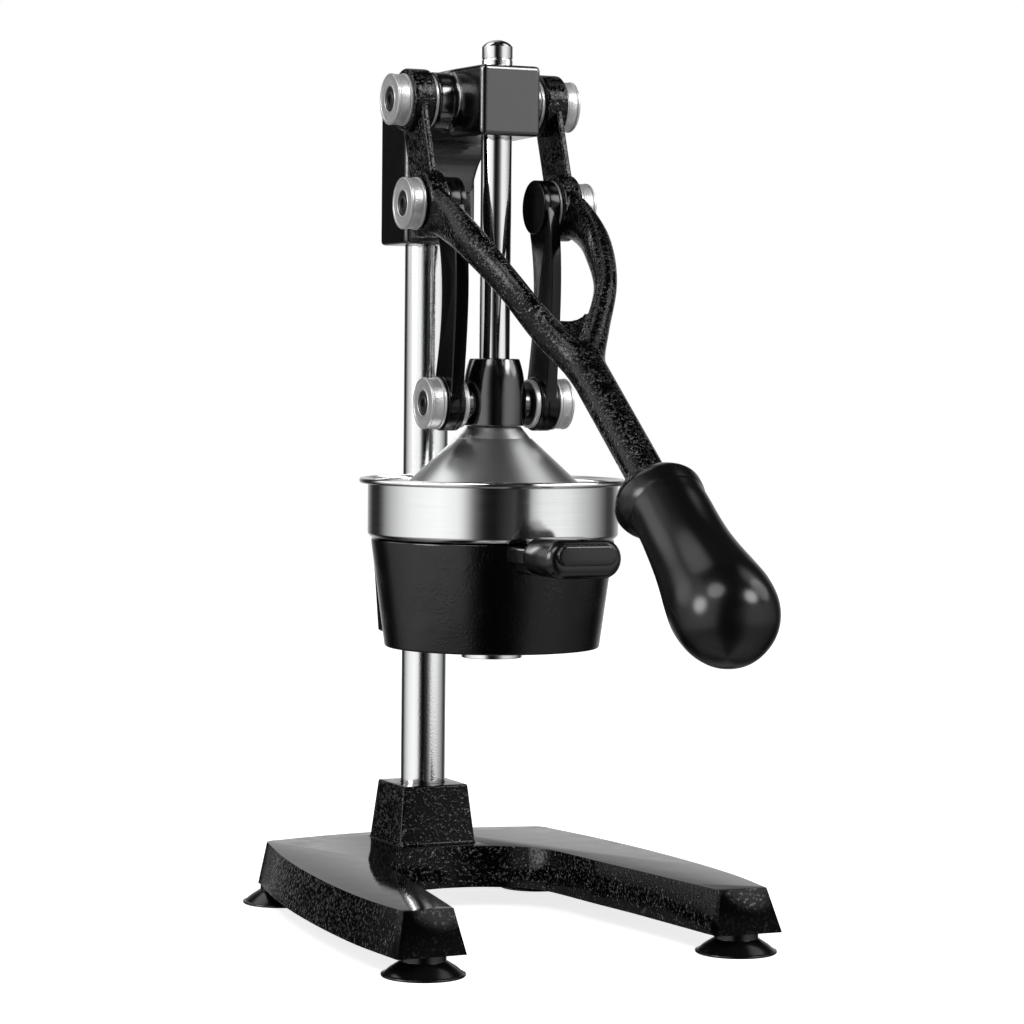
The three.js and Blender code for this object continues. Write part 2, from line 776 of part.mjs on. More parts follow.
sides.forEach(([hand, side]) => {
  const low = Math.min(side * linkInner, side * linkOuter);
  const high = low + linkThickness;
  const hub = (pivot) => turnedAcross([
    [0, linkInner], [linkHubRadius - linkEdge / 2, linkInner], [linkHubRadius, linkInner + linkEdge / 2],
    [linkHubRadius, linkOuter - linkEdge / 2], [linkHubRadius - linkEdge / 2, linkOuter], [0, linkOuter],
  ], side, pivot);
  const bar = plateAcross(
    bowedBar(middlePivot, lowerPivot, linkBow, linkHalfWidth, linkRootHalfWidth),
    low,
    high,
    linkEdge,
  );
  piece(`link_${hand}`, cut(
    join(bar, hub(middlePivot), hub(lowerPivot)),
    acrossHole(pinRadius + clearance, linkInner + linkEdge - clearance, linkOuter + overrun, side, middlePivot),
    acrossHole(pinRadius + clearance, linkInner - overrun, linkOuter + overrun, side, lowerPivot),
  ), castSmooth);
});

// Lever casting: two hubs a side, upper arms, the fork that closes in front and the shaft

const planeNormal = new THREE.Vector3(0, -Math.sin(shaftSlope), Math.cos(shaftSlope));
const shaftWay = new THREE.Vector3(0, -Math.cos(shaftSlope), -Math.sin(shaftSlope));
const armSpread = middleHubInner + middleHubWidth / 2;
const shaftOrigin = new THREE.Vector3(0, -middlePivot.forward - forkReach, middlePivot.height - forkDrop);
const armStations = armStationShares.map((share) => ({
  side: THREE.MathUtils.lerp(forkCloseHalfSpan, armSpread, share.spread),
  forward: middlePivot.forward + forkReach * share.reach,
  height: middlePivot.height - forkDrop * share.drop,
  halfWidth: armHalfWidth * share.width,
  halfDepth: armHalfDepth * share.depth,
}));

function sweptArm(side) {
  const centre = new THREE.CatmullRomCurve3(armStations.map((station) => (
    new THREE.Vector3(side * station.side, -station.forward, station.height)
  )), false, 'centripetal');
  const rings = [];
  for (let k = 0; k <= armSteps; k += 1) {
    const share = k / armSteps;
    const at = share * (armStations.length - 1);
    const before = armStations[Math.min(Math.floor(at), armStations.length - 2)];
    const after = armStations[armStations.indexOf(before) + 1];
    const blend = at - armStations.indexOf(before);
    const halfWidth = THREE.MathUtils.lerp(before.halfWidth, after.halfWidth, blend);
    const halfDepth = THREE.MathUtils.lerp(before.halfDepth, after.halfDepth, blend);
    const middle = centre.getPoint(share);
    const tangent = centre.getTangent(share);
    const across = new THREE.Vector3().crossVectors(tangent, planeNormal).normalize();
    const up = new THREE.Vector3().crossVectors(across, tangent);
    const ring = [];
    for (let n = 0; n < sweepSides; n += 1) {
      const angle = (n / sweepSides) * 2 * Math.PI;
      ring.push(middle.clone()
        .addScaledVector(across, halfWidth * Math.cos(angle))
        .addScaledVector(up, halfDepth * Math.sin(angle)));
    }
    rings.push(ring);
  }
  return loft(rings);
}

// Turns a revolve about Z so that its height runs along the shaft
function alongShaft(geometry) {
  const turn = new THREE.Quaternion().setFromUnitVectors(new THREE.Vector3(0, 0, 1), shaftWay);
  return geometry.applyQuaternion(turn).translate(shaftOrigin.x, shaftOrigin.y, shaftOrigin.z);
}

const leverSides = sides.flatMap(([, side]) => {
  const armInner = Math.max(upperHubInner, middleHubInner);
  const armOuter = Math.min(upperHubOuter, middleHubOuter);
  return [
    turnedAcross([[0, upperHubInner], [upperHubRadius, upperHubInner], [upperHubRadius, upperHubOuter - capEdge],
      [upperHubRadius - capEdge, upperHubOuter], [0, upperHubOuter]], side, upperPivot),
    turnedAcross([[0, middleHubInner], [middleHubRadius, middleHubInner],
      [middleHubRadius, middleHubOuter - capEdge], [middleHubRadius - capEdge, middleHubOuter],
      [0, middleHubOuter]], side, middlePivot),
    plateAcross(
      bowedBar(upperPivot, middlePivot, 0, upperArmWaist, upperArmHalf),
      Math.min(side * armInner, side * armOuter),
      Math.max(side * armInner, side * armOuter),
      linkEdge,
    ),
    sweptArm(side),
  ];
});
const shaft = alongShaft(turned([
  [0, -shaftBackset],
  [shaftRadius - shaftEndEdge, -shaftBackset],
  [shaftRadius, shaftEndEdge - shaftBackset],
  [shaftRadius, shaftLength - shaftEndEdge],
  [shaftRadius - shaftEndEdge, shaftLength],
  [0, shaftLength],
]));
piece('lever_casting', cut(
  join(...leverSides, shaft),
  ...sides.flatMap(([, side]) => [
    acrossHole(pinRadius + clearance, 0, upperHubOuter + overrun, side, upperPivot),
    acrossHole(pinRadius + clearance, 0, middleHubOuter + overrun, side, middlePivot),
  ]),
), castBlack);

// Lever grip: a flange that stands out below, a waist and a bulb that swells above the line of the shaft

const gripBody = loft(gripStationShares.map((share) => {
  const radius = gripBulbRadius * share.radius;
  const middle = shaftOrigin.clone()
    .addScaledVector(shaftWay, gripStart + gripLength * share.place)
    .addScaledVector(planeNormal, gripLift * share.lift);
  const across = new THREE.Vector3(1, 0, 0);
  const ring = [];
  for (let n = 0; n < gripSides; n += 1) {
    const angle = (n / gripSides) * 2 * Math.PI;
    ring.push(middle.clone()
      .addScaledVector(across, radius * Math.cos(angle))
      .addScaledVector(planeNormal, radius * Math.sin(angle)));
  }
  return ring;
}));
piece('lever_grip', cut(
  solid(gripBody),
  alongShaft(disc(shaftRadius + clearance, gripStart - overrun, shaftLength + clearance)),
), rubber);

// Rod, yoke and bell

const rodTop = headTop + rodProudness;
const rodBottom = yokeBottom + clearance;
const groove = rodTop - rodGrooveDrop;
piece('plunger_rod', cut(
  solid(turned([
    [0, rodBottom],
    [rodRadius, rodBottom],
    [rodRadius, groove - rodGrooveWidth / 2],
    [rodRadius - rodGrooveDepth, groove],
    [rodRadius, groove + rodGrooveWidth / 2],
    [rodRadius, rodTop - rodCrownHeight],
    [rodRadius * Math.cos(Math.PI / 6), rodTop - rodCrownHeight / 2],
    [rodRadius / 2, rodTop - rodCrownHeight / 8],
    [0, rodTop],
  ])),
  disc(bellScrewRadius + clearance, rodBottom - overrun, rodBottom + bellScrewGrip + clearance, smallSides),
), chrome);
piece('yoke', cut(
  join(
    turned([
      [0, yokeBottom],
      [yokeFootRadius, yokeBottom],
      [yokeRadius, yokeTop - yokeTaperHeight - yokeTaperHeight],
      [yokeRadius - yokeEdge / 2, yokeTop - yokeTaperHeight],
      [yokeTopRadius, yokeTop - yokeEdge],
      [yokeTopRadius - yokeEdge, yokeTop],
      [0, yokeTop],
    ]),
    turnedAcross([[0, -yokeBossHalfSpan], [yokeBossRadius, -yokeBossHalfSpan],
      [yokeBossRadius, yokeBossHalfSpan], [0, yokeBossHalfSpan]], 1, lowerPivot),
  ),
  disc(rodRadius + clearance, yokeBottom - overrun, yokeTop + overrun),
  ...sides.map(([, side]) => (
    acrossHole(pinRadius + clearance, lowerBoltEnd - clearance, yokeBossHalfSpan + overrun, side, lowerPivot)
  )),
), castSmooth);

const bellConeFoot = bellTop - bellConeHeight;
piece('press_bell', turned([
  [bellScrewRadius + clearance, bellTop],
  [bellTopRadius, bellTop],
  [bellCollarRadius, bellTop - bellCollarHeight],
  [bellCollarRadius + bellStep, bellTop - bellCollarHeight],
  [bellConeRadius, bellConeFoot],
  [bellSkirtRadius - bellWall, (bellConeFoot + bellBottom) / 2],
  [bellSkirtRadius, bellBottom],
  [bellSkirtRadius - bellWall, bellBottom],
  [bellSkirtRadius - 2 * bellWall, (bellConeFoot + bellBottom) / 2],
  [bellConeRadius - bellWall, bellConeFoot - bellWall],
  [bellCollarRadius - bellWall / 2, bellTop - bellCollarHeight - bellWall],
  [bellTopRadius - bellTopPlate, bellTop - bellTopPlate],
  [bellScrewRadius + clearance, bellTop - bellTopPlate],
  [bellScrewRadius + clearance, bellTop],
], fineSides), stainless);
const screwHead = bellTop - bellTopPlate - clearance;
piece('bell_screw', turned([
  [0, screwHead - bellScrewHeadHeight],
  [bellScrewHeadRadius, screwHead - bellScrewHeadHeight],
  [bellScrewHeadRadius, screwHead],
  [bellScrewRadius, screwHead],
  [bellScrewRadius, rodBottom + bellScrewGrip],
  [0, rodBottom + bellScrewGrip],
], smallSides), machined);

// Bowl holder on its bracket, the bowl with its funnel floor and spout, and the strainer

const holderTop = bowlShoulderHeight - clearance;
const holderBottom = holderTop - holderHeight;
const bowlFloor = holderBottom + holderFloor + clearance;
const spoutBottom = bowlFloor - spoutHeight;
const tangTop = holderTop - clearance;
const tangBottom = tangTop - tangThickness;
const lugTop = holderTop - lugDrop;
const lugReach = holderTopRadius + lugLength;
const bowlGripRear = lugReach + bowlGripStandoff;
const bowlGripHeight = tangBottom - bowlGripDrop;
const tangReach = bowlGripRear + tangGripDepth;
const bowlNeckRadius = holderTopRadius - holderWall - 2 * clearance;
const bowlFootRadius = holderFootRadius - holderWall - 2 * clearance;
const bowlWallRadius = holderTopRadius + bowlShoulderProudness;
const bowlRimRadius = bowlWallRadius + bowlRimProudness;
const bowlRimHeight = bowlShoulderHeight + bowlRimRise;
const cupFront = holderFootRadius - holderWall;
const blockAcross = (halfWidth, near, far, low, high) => new THREE.BoxGeometry(
  2 * halfWidth,
  far - near,
  high - low,
).translate(0, -(near + far) / 2, (low + high) / 2);
const cupCavity = turned([
  [0, holderBottom + holderFloor],
  [holderFootRadius - holderWall, holderBottom + holderFloor],
  [holderTopRadius - holderWall, holderTop],
  [holderTopRadius - holderWall, holderTop + overrun],
  [0, holderTop + overrun],
], fineSides);
piece('holder_casting', cut(
  join(
    turned([
      [0, holderBottom],
      [holderFootRadius - holderEdge, holderBottom],
      [holderFootRadius, holderBottom + holderEdge],
      [holderTopRadius, holderTop],
      [0, holderTop],
    ], fineSides),
    loft([
      roundedRectangle(bracketFootHalfWidth, bracketFootHalfDepth, bracketCorner, columnReach, holderBottom),
      roundedRectangle(bracketHalfWidth, bracketHalfDepth, bracketCorner, columnReach, holderTop),
    ]),
    blockAcross(bracketFootHalfWidth, -columnReach, -holderFootRadius + holderWall, holderBottom, holderTop),
    blockAcross(lugHalfWidth, cupFront, lugReach, lugTop - lugHeight, lugTop),
    blockAcross(
      lugRibHalfWidth,
      cupFront,
      lugReach - lugRibSetback,
      lugTop - lugHeight - lugRibHeight,
      lugTop - lugHeight / 2,
    ),
  ),
  cupCavity,
  disc(spoutRadius + 2 * clearance, holderBottom - overrun, holderTop),
  disc(columnRadius + clearance, holderBottom - overrun, holderTop + overrun).translate(0, columnReach, 0),
  blockAcross(tangHalfWidth + clearance, cupFront, lugReach, tangBottom - clearance, holderTop + overrun),
  disc(setScrewRadius + clearance, columnReach, columnReach + 2 * bracketHalfDepth, smallSides)
    .rotateX(-Math.PI / 2).translate(0, 0, (holderBottom + holderTop) / 2),
), castBlack);
piece('holder_set_screw', disc(
  setScrewRadius,
  columnBack + clearance,
  columnReach + bracketFootHalfDepth - clearance,
  smallSides,
).rotateX(-Math.PI / 2).translate(0, 0, (holderBottom + holderTop) / 2), machined);

const bowlInnerRadius = bowlWallRadius - bowlWall;
const bowlSeat = bowlShoulderHeight + bowlWall;
piece('bowl', turned([
  [spoutRadius - bowlWall, spoutBottom],
  [spoutRadius, spoutBottom],
  [spoutRadius, bowlFloor],
  [bowlFootRadius - bowlShoulderDrop, bowlFloor + bowlFunnelRise / 2],
  [bowlFootRadius, bowlFloor + bowlFunnelRise],
  [bowlNeckRadius, bowlShoulderHeight],
  [bowlWallRadius - bowlShoulderDrop / 2, bowlShoulderHeight],
  [bowlWallRadius, bowlShoulderHeight + bowlShoulderDrop],
  [bowlWallRadius, bowlRimHeight - bowlBead],
  [bowlRimRadius - bowlBead / 4, bowlRimHeight - bowlBead],
  [bowlRimRadius, bowlRimHeight - bowlBead / 2],
  [bowlRimRadius - bowlBead / 4, bowlRimHeight],
  [bowlInnerRadius + bowlBead / 2, bowlRimHeight - bowlBead / 4],
  [bowlInnerRadius, bowlRimHeight - bowlBead],
  [bowlInnerRadius, bowlShoulderHeight + bowlShoulderDrop],
  [bowlInnerRadius - bowlShoulderDrop / 2, bowlSeat],
  [bowlNeckRadius - bowlWall, bowlSeat],
  [bowlFootRadius - bowlWall, bowlFloor + bowlFunnelRise + bowlWall],
  [bowlFootRadius - bowlShoulderDrop - bowlWall, bowlFloor + bowlFunnelRise / 2 + bowlWall],
  [spoutRadius - bowlWall, bowlFloor + bowlWall],
  [spoutRadius - bowlWall, spoutBottom],
], fineSides), stainless);

const brimBottom = bowlSeat + clearance;
const brimTop = brimBottom + strainerWall;
const coneTop = brimTop + strainerConeHeight;
const brimRadius = bowlInnerRadius - bowlShoulderDrop / 2 - clearance;
piece('strainer_cone', turned([
  [0, coneTop - strainerWall],
  [strainerTipRadius - strainerWall, coneTop - strainerTipRadius / 2],
  [strainerConeRadius - strainerWall, brimBottom],
  [brimRadius, brimBottom],
  [brimRadius, brimTop],
  [strainerConeRadius, brimTop],
  [strainerTipRadius, coneTop - strainerTipRadius / 2 + strainerWall],
  [strainerTipRadius / 2, coneTop - strainerWall / 4],
  [0, coneTop],
], fineSides), stainless);

// Bowl tang and its stub grip

piece('bowl_tang', blockAcross(tangHalfWidth, bowlNeckRadius + clearance, tangReach, tangBottom, tangTop), machined);

function stadium(halfWidth, halfHeight, near, far, edge, height) {
  const shape = new THREE.Shape();
  const straight = halfWidth - halfHeight;
  shape.absarc(straight, 0, halfHeight, -Math.PI / 2, Math.PI / 2, false);
  shape.absarc(-straight, 0, halfHeight, Math.PI / 2, 3 * Math.PI / 2, false);
  shape.closePath();
  return new THREE.ExtrudeGeometry(shape, {
    depth: far - near - 2 * edge,
    bevelEnabled: edge > 0,
    bevelThickness: edge,
    bevelSize: edge,
    bevelOffset: -edge,
    bevelSegments: 1,
    curveSegments: smallSides / 2,
  }).rotateX(Math.PI / 2).translate(0, -near - edge, height);
}

const bowlGripFront = bowlGripRear + bowlGripLength;
piece('bowl_grip', cut(
  join(
    stadium(bowlGripHalfWidth, bowlGripHalfHeight, bowlGripRear, bowlGripFront, bowlGripEdge, bowlGripHeight),
    stadium(
      bowlGripPadHalfWidth,
      bowlGripPadHalfHeight,
      bowlGripFront - overrun,
      bowlGripFront + bowlGripPadProudness,
      bowlGripPadEdge,
      bowlGripHeight + bowlGripPadRise,
    ),
  ),
  blockAcross(
    tangHalfWidth + clearance,
    bowlGripRear - overrun,
    tangReach + clearance,
    tangBottom - clearance,
    tangTop + clearance,
  ),
), plastic);

// The origin sits on the floor under the middle of the press

const extent = new THREE.Box3().setFromObject(press);
press.position.y = -(extent.min.y + extent.max.y) / 2;
press.updateMatrixWorld(true);
export default press;
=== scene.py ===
# Lever citrus press: turned, cast and moulded pieces round the fixed frame, in a white studio.
# Pieces are shaped in millimetres from the axis of the rod, then brought into the frame in metres.
import math

import bmesh
import bpy
from mathutils import Matrix, Vector


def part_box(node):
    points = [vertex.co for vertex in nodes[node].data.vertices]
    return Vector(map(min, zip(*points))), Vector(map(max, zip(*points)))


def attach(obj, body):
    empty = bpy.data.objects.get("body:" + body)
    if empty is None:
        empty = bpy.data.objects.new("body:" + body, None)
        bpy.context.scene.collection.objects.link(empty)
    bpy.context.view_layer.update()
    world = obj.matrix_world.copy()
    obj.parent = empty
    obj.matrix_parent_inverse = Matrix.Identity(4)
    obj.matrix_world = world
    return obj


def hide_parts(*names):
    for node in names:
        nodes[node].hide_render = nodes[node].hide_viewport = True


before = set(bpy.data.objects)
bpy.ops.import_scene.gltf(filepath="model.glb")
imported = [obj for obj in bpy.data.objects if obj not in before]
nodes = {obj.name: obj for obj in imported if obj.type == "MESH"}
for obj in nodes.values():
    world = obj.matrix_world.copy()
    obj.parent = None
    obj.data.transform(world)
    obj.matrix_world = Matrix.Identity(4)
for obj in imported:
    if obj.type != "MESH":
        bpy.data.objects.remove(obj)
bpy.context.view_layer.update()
scene = bpy.context.scene

mm = 0.001
rodLow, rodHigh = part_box("plunger_rod")
axisY = (rodLow.y + rodHigh.y) / 2
toFrame = Matrix.Translation((0, axisY, 0)) @ Matrix.Scale(mm, 4)
sides = (("left", -1), ("right", 1))


def boxOf(node):
    # A node's corners in millimetres from the axis of the rod
    low, high = (corner.copy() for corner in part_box(node))
    low.y -= axisY
    high.y -= axisY
    return low / mm, high / mm


def pivotOf(node):
    # The middle of a ring, seen along X, is its pivot's axis
    low, high = boxOf(node)
    return (low.y + high.y) / 2, (low.z + high.z) / 2


def spanAcross(node):
    # How far out along X a node of one side starts and ends
    low, high = boxOf(node)
    return sorted((abs(low.x), abs(high.x)))


def heightsOf(node):
    low, high = boxOf(node)
    return low.z, high.z


def middleOf(node):
    low, high = boxOf(node)
    return (low + high) / 2


def meshOf(bm, name):
    mesh = bpy.data.meshes.new(name)
    bm.to_mesh(mesh)
    bm.free()
    return mesh


def placed(name, data):
    made = bpy.data.objects.new(name, data)
    scene.collection.objects.link(made)
    return made


pivots = {name: pivotOf(name + "_ring_left") for name in ("upper", "middle", "lower")}
columnLow, columnHigh = boxOf("column")
columnY = (columnLow.y + columnHigh.y) / 2
print("frame loaded, rod axis at", round(axisY, 5))

# Camera, worked out from the perspective of the photograph

cameraLook = {"position": (-674.02, -1517.64, 291.03), "azimuth": 24.29, "pitch": 2.53, "roll": 0.56, "lens": 111.83,
              "sensor": 36, "clip": (0.05, 50)}


def makeCamera(look):
    turn, pitch, roll = (math.radians(look[k]) for k in ("azimuth", "pitch", "roll"))
    right = Vector((math.cos(turn), -math.sin(turn), 0))
    ahead = Vector((math.sin(turn) * math.cos(pitch), math.cos(turn) * math.cos(pitch), -math.sin(pitch)))
    axes = Matrix((right, right.cross(ahead), -ahead)).transposed() @ Matrix.Rotation(roll, 3, "Z")
    data = bpy.data.cameras.new("camera")
    data.lens, data.sensor_width = look["lens"], look["sensor"]
    data.clip_start, data.clip_end = look["clip"]
    camera = placed("camera", data)
    camera.matrix_world = Matrix.Translation(toFrame @ Vector(look["position"])) @ axes.to_4x4()
    scene.camera = camera
    return right, ahead


cameraRight, cameraAhead = makeCamera(cameraLook)
scene.view_settings.view_transform = "Standard"

# Studio: tall soft walls of light stand left and right of the lens, with dark between and behind them.
# A wall is a bearing in degrees to the right of the lens, and the level of light that metal finds there.
# A fade is where a level starts and ends to fall, as heights of a ray, and what is left of it.
# A box is a soft light: bearing, elevation, radius of its core and of its rim in degrees, and its level.

studioLook = {
    "diffuseLevel": 0.5,
    "walls": (
        (-180, 0.76), (-167, 0.55), (-157, 0.22), (-146, 0.03), (-130, 0.02), (-123, 0.1), (-117, 0.3), (-108, 0.52),
        (-94, 0.8), (-80, 1.03), (-50, 1.2), (-43, 1.14), (-33, 1.08), (-28, 0.93), (-22, 0.5), (-16, 0.13),
        (-8, 0.01), (2, 0.005), (20, 0.06), (30, 0.3), (35, 0.5), (41, 0.86), (46, 1.05), (64, 1.08), (77, 0.94),
        (90, 0.68), (104, 0.46), (118, 0.2), (130, 0.04), (142, 0.06), (157, 0.36), (180, 0.76),
    ),
    "fades": {
        "left": ((0.68, 0.9, 0.03), (-0.3, -0.5, 0.35)),
        "right": ((0.16, 0.44, 0.04), (-0.14, -0.28, 0.45)),
    },
    "meeting": 0.15,
    "below": (-0.6, -0.8, 0.1),
    "boxes": (
        (-108, 22, 7, 20, 1.2), (-66, 18, 6, 18, 10), (60, 34, 7, 17, 11), (-134, 54, 8, 19, 1.5),
        (114, 52, 8, 18, 1.1),
    ),
}
white = (1, 1, 1, 1)


def feed(tree, node, inputs):
    # A socket is joined to its input, and any other value is set there
    for key, value in inputs.items():
        if isinstance(value, bpy.types.NodeSocket):
            tree.links.new(value, node.inputs[key])
        else:
            node.inputs[key].default_value = value


def nodeOf(tree, kind, *values, inputs=None, **settings):
    # The values go to the first inputs in their order, and the named ones to theirs
    made = tree.nodes.new("ShaderNode" + kind)
    for key, value in settings.items():
        setattr(made, key, value)
    feed(tree, made, {**dict(enumerate(values)), **(inputs or {})})
    return made


def mathNode(tree, operation, *values):
    return nodeOf(tree, "Math", *values, operation=operation).outputs[0]


def vectorNode(tree, operation, *values):
    return nodeOf(tree, "VectorMath", *values, operation=operation).outputs


def dotNode(tree, vector, direction):
    return vectorNode(tree, "DOT_PRODUCT", vector, direction)["Value"]


def rangeNode(tree, value, low, high, start=0.0, end=1.0, smooth=False):
    return nodeOf(tree, "MapRange", value, start, end, low, high,
                  interpolation_type="SMOOTHSTEP" if smooth else "LINEAR").outputs["Result"]


def mirroredRay(tree):
    path = nodeOf(tree, "LightPath")
    return path, mathNode(tree, "MAXIMUM", path.outputs["Is Glossy Ray"], path.outputs["Is Transmission Ray"])


def mixNode(tree, factor, first, second):
    return nodeOf(tree, "MixShader", factor, first.outputs[0], second.outputs[0])


def makeWorld(look):
    world = bpy.data.worlds.new("studio")
    scene.world = world
    world.use_nodes = True
    tree = world.node_tree
    tree.nodes.clear()
    toLens = Vector((-cameraAhead.x, -cameraAhead.y, 0)).normalized()
    way = nodeOf(tree, "TexCoord").outputs["Generated"]
    across = dotNode(tree, way, cameraRight)
    height = dotNode(tree, way, (0, 0, 1))
    angle = mathNode(tree, "ARCTAN2", across, dotNode(tree, way, toLens))
    ramp = nodeOf(tree, "ValToRGB", mathNode(tree, "ADD", mathNode(tree, "DIVIDE", angle, 2 * math.pi), 0.5))
    ramp.color_ramp.interpolation = "LINEAR"
    stops = ramp.color_ramp.elements
    for k, (degrees, level) in enumerate(look["walls"]):
        place = degrees / 360 + 0.5
        stop = stops[k] if k < 2 else stops.new(place)
        stop.position = place
        stop.color = (level, level, level, 1)
    rests = []
    for side in ("left", "right"):
        upper, lower = (rangeNode(tree, height, 1, left, start, end, True) for start, end, left in look["fades"][side])
        rests.append(mathNode(tree, "MULTIPLY", upper, lower))
    toRight = rangeNode(tree, across, 0, 1, -look["meeting"], look["meeting"], True)
    gap = mathNode(tree, "MULTIPLY", mathNode(tree, "SUBTRACT", rests[1], rests[0]), toRight)
    level = mathNode(tree, "MULTIPLY", ramp.outputs[0], mathNode(tree, "ADD", rests[0], gap))
    start, end, glow = look["below"]
    level = mathNode(tree, "ADD", level, rangeNode(tree, height, 0, glow, start, end, True))
    for *angles, strength in look["boxes"]:
        turn, rise, core, rim = (math.radians(degrees) for degrees in angles)
        middle = (cameraRight * math.sin(turn) + toLens * math.cos(turn)) * math.cos(rise)
        near = dotNode(tree, way, middle + Vector((0, 0, math.sin(rise))))
        level = mathNode(tree, "ADD", level, rangeNode(tree, near, 0, strength, math.cos(rim), math.cos(core), True))
    path, mirrored = mirroredRay(tree)
    room, soft, plain = (nodeOf(tree, "Background", white, strength)
                         for strength in (level, look["diffuseLevel"], 1))
    shown = mixNode(tree, path.outputs["Is Camera Ray"], mixNode(tree, mirrored, soft, room), plain)
    nodeOf(tree, "OutputWorld", shown.outputs[0])


makeWorld(studioLook)

floorLook = {"radius": 3000, "segments": 96, "colour": (0.86, 0.86, 0.86, 1), "roughness": 0.9, "cameraGlow": 0.79}
lampLook = {
    "keyLamp": {"place": (-900, -700, 1500), "size": 900, "power": 9},
    "fillLamp": {"place": (1100, -500, 1000), "size": 900, "power": 5},
}
lampTarget = Vector((0, 0, 0.2))


def makeFloor(look):
    # The floor glows for the camera alone, and mirrored rays pass it, so that metal finds the room all round
    bm = bmesh.new()
    bmesh.ops.create_circle(bm, cap_ends=True, segments=look["segments"], radius=look["radius"] * mm)
    floor = placed("floor", meshOf(bm, "floor"))
    material = bpy.data.materials.new("floorWhite")
    material.use_nodes = True
    tree = material.node_tree
    shader = tree.nodes["Principled BSDF"]
    path, mirrored = mirroredRay(tree)
    feed(tree, shader, {
        "Base Color": look["colour"], "Roughness": look["roughness"], "Specular IOR Level": 0, "Emission Color": white,
        "Emission Strength": mathNode(tree, "MULTIPLY", path.outputs["Is Camera Ray"], look["cameraGlow"]),
    })
    passed = mixNode(tree, mirrored, shader, nodeOf(tree, "BsdfTransparent"))
    feed(tree, tree.nodes["Material Output"], {"Surface": passed.outputs[0]})
    floor.data.materials.append(material)


def makeLamp(name, look):
    data = bpy.data.lights.new(name, "AREA")
    data.shape = "DISK"
    data.size = look["size"] * mm
    data.energy = look["power"]
    place = toFrame @ Vector(look["place"])
    aim = (place - lampTarget).to_track_quat("Z", "Y").to_matrix().to_4x4()
    placed(name, data).matrix_world = Matrix.Translation(place) @ aim


makeFloor(floorLook)
for lampName, look in lampLook.items():
    makeLamp(lampName, look)
print("studio ready")

# Finishes


def newMaterial(name, look, metallic=0):
    # Gives the coordinates of the object too, for its patterns
    material = bpy.data.materials.new(name)
    material.use_nodes = True
    tree = material.node_tree
    shader = tree.nodes["Principled BSDF"]
    feed(tree, shader, {
        "Base Color": (*look["colour"], 1), "Roughness": look["roughness"], "IOR": look.get("ior", 1.5),
        "Metallic": look.get("metallic", metallic), "Specular IOR Level": look.get("specular", 0.5),
    })
    return material, tree, shader, nodeOf(tree, "TexCoord").outputs["Object"]


def splitNode(tree, vector):
    return nodeOf(tree, "SeparateXYZ", vector).outputs


def noiseNode(tree, vector, size, detail=2.0, roughness=0.5):
    return nodeOf(tree, "TexNoise", inputs={
        "Vector": vector, "Scale": 1 / (size * mm), "Detail": detail, "Roughness": roughness,
    }).outputs["Fac"]


def bumpNode(tree, height, depth, before=None):
    inputs = {"Strength": 1, "Distance": depth * mm, "Height": height}
    if before:
        inputs["Normal"] = before
    return nodeOf(tree, "Bump", inputs=inputs).outputs["Normal"]


def roughnessOf(tree, value, look):
    middle, spread = look["roughness"], look["roughnessSpread"]
    return rangeNode(tree, value, middle - spread, middle + spread, 0.3, 0.7)


def paintFinish(name, look):
    # Black paint over iron: pebbles of the casting that fade in patches, slow waves, and a fine orange peel
    material, tree, shader, place = newMaterial(name, look)
    grains = noiseNode(tree, place, look["pebble"], 1.5, 0.6)
    pebbles = rangeNode(tree, grains, 0, 1, look["pebbleFrom"], look["pebbleTo"], True)
    patches = noiseNode(tree, place, look["patch"], 2)
    faded = mathNode(tree, "MULTIPLY", pebbles, rangeNode(tree, patches, look["patchLow"], 1, 0.38, 0.62))
    if look["flatTop"] < 1:
        facing = splitNode(tree, nodeOf(tree, "NewGeometry").outputs["Normal"])["Z"]
        faded = mathNode(tree, "MULTIPLY", faded, rangeNode(tree, facing, 1, look["flatTop"], 0.7, 0.95))
    lustre = rangeNode(tree, faded, look["specular"], look["peakSpecular"])
    if "smoothAndShadedEnd" in look:
        # The faces at the ends of the arms are smooth, and their reflection is turned down to a share: a painted shade
        # that keeps them dark under the soft lights
        along, end = splitNode(tree, place)["Y"], axisY + look["smoothAndShadedEnd"] * mm
        faded, lustre = (mathNode(tree, "MULTIPLY", value, rangeNode(tree, along, least, 1, end - mm, end + mm))
                         for value, least in ((faded, 0), (lustre, look["endShadeLustre"])))
    normal = bumpNode(tree, noiseNode(tree, place, look["wave"], 1), look["waveDepth"])
    normal = bumpNode(tree, faded, look["pebbleDepth"], normal)
    normal = bumpNode(tree, noiseNode(tree, place, look["peel"], 1), look["peelDepth"], normal)
    feed(tree, shader, {
        "Normal": normal, "Specular IOR Level": lustre, "Roughness": roughnessOf(tree, patches, look),
    })
    return material


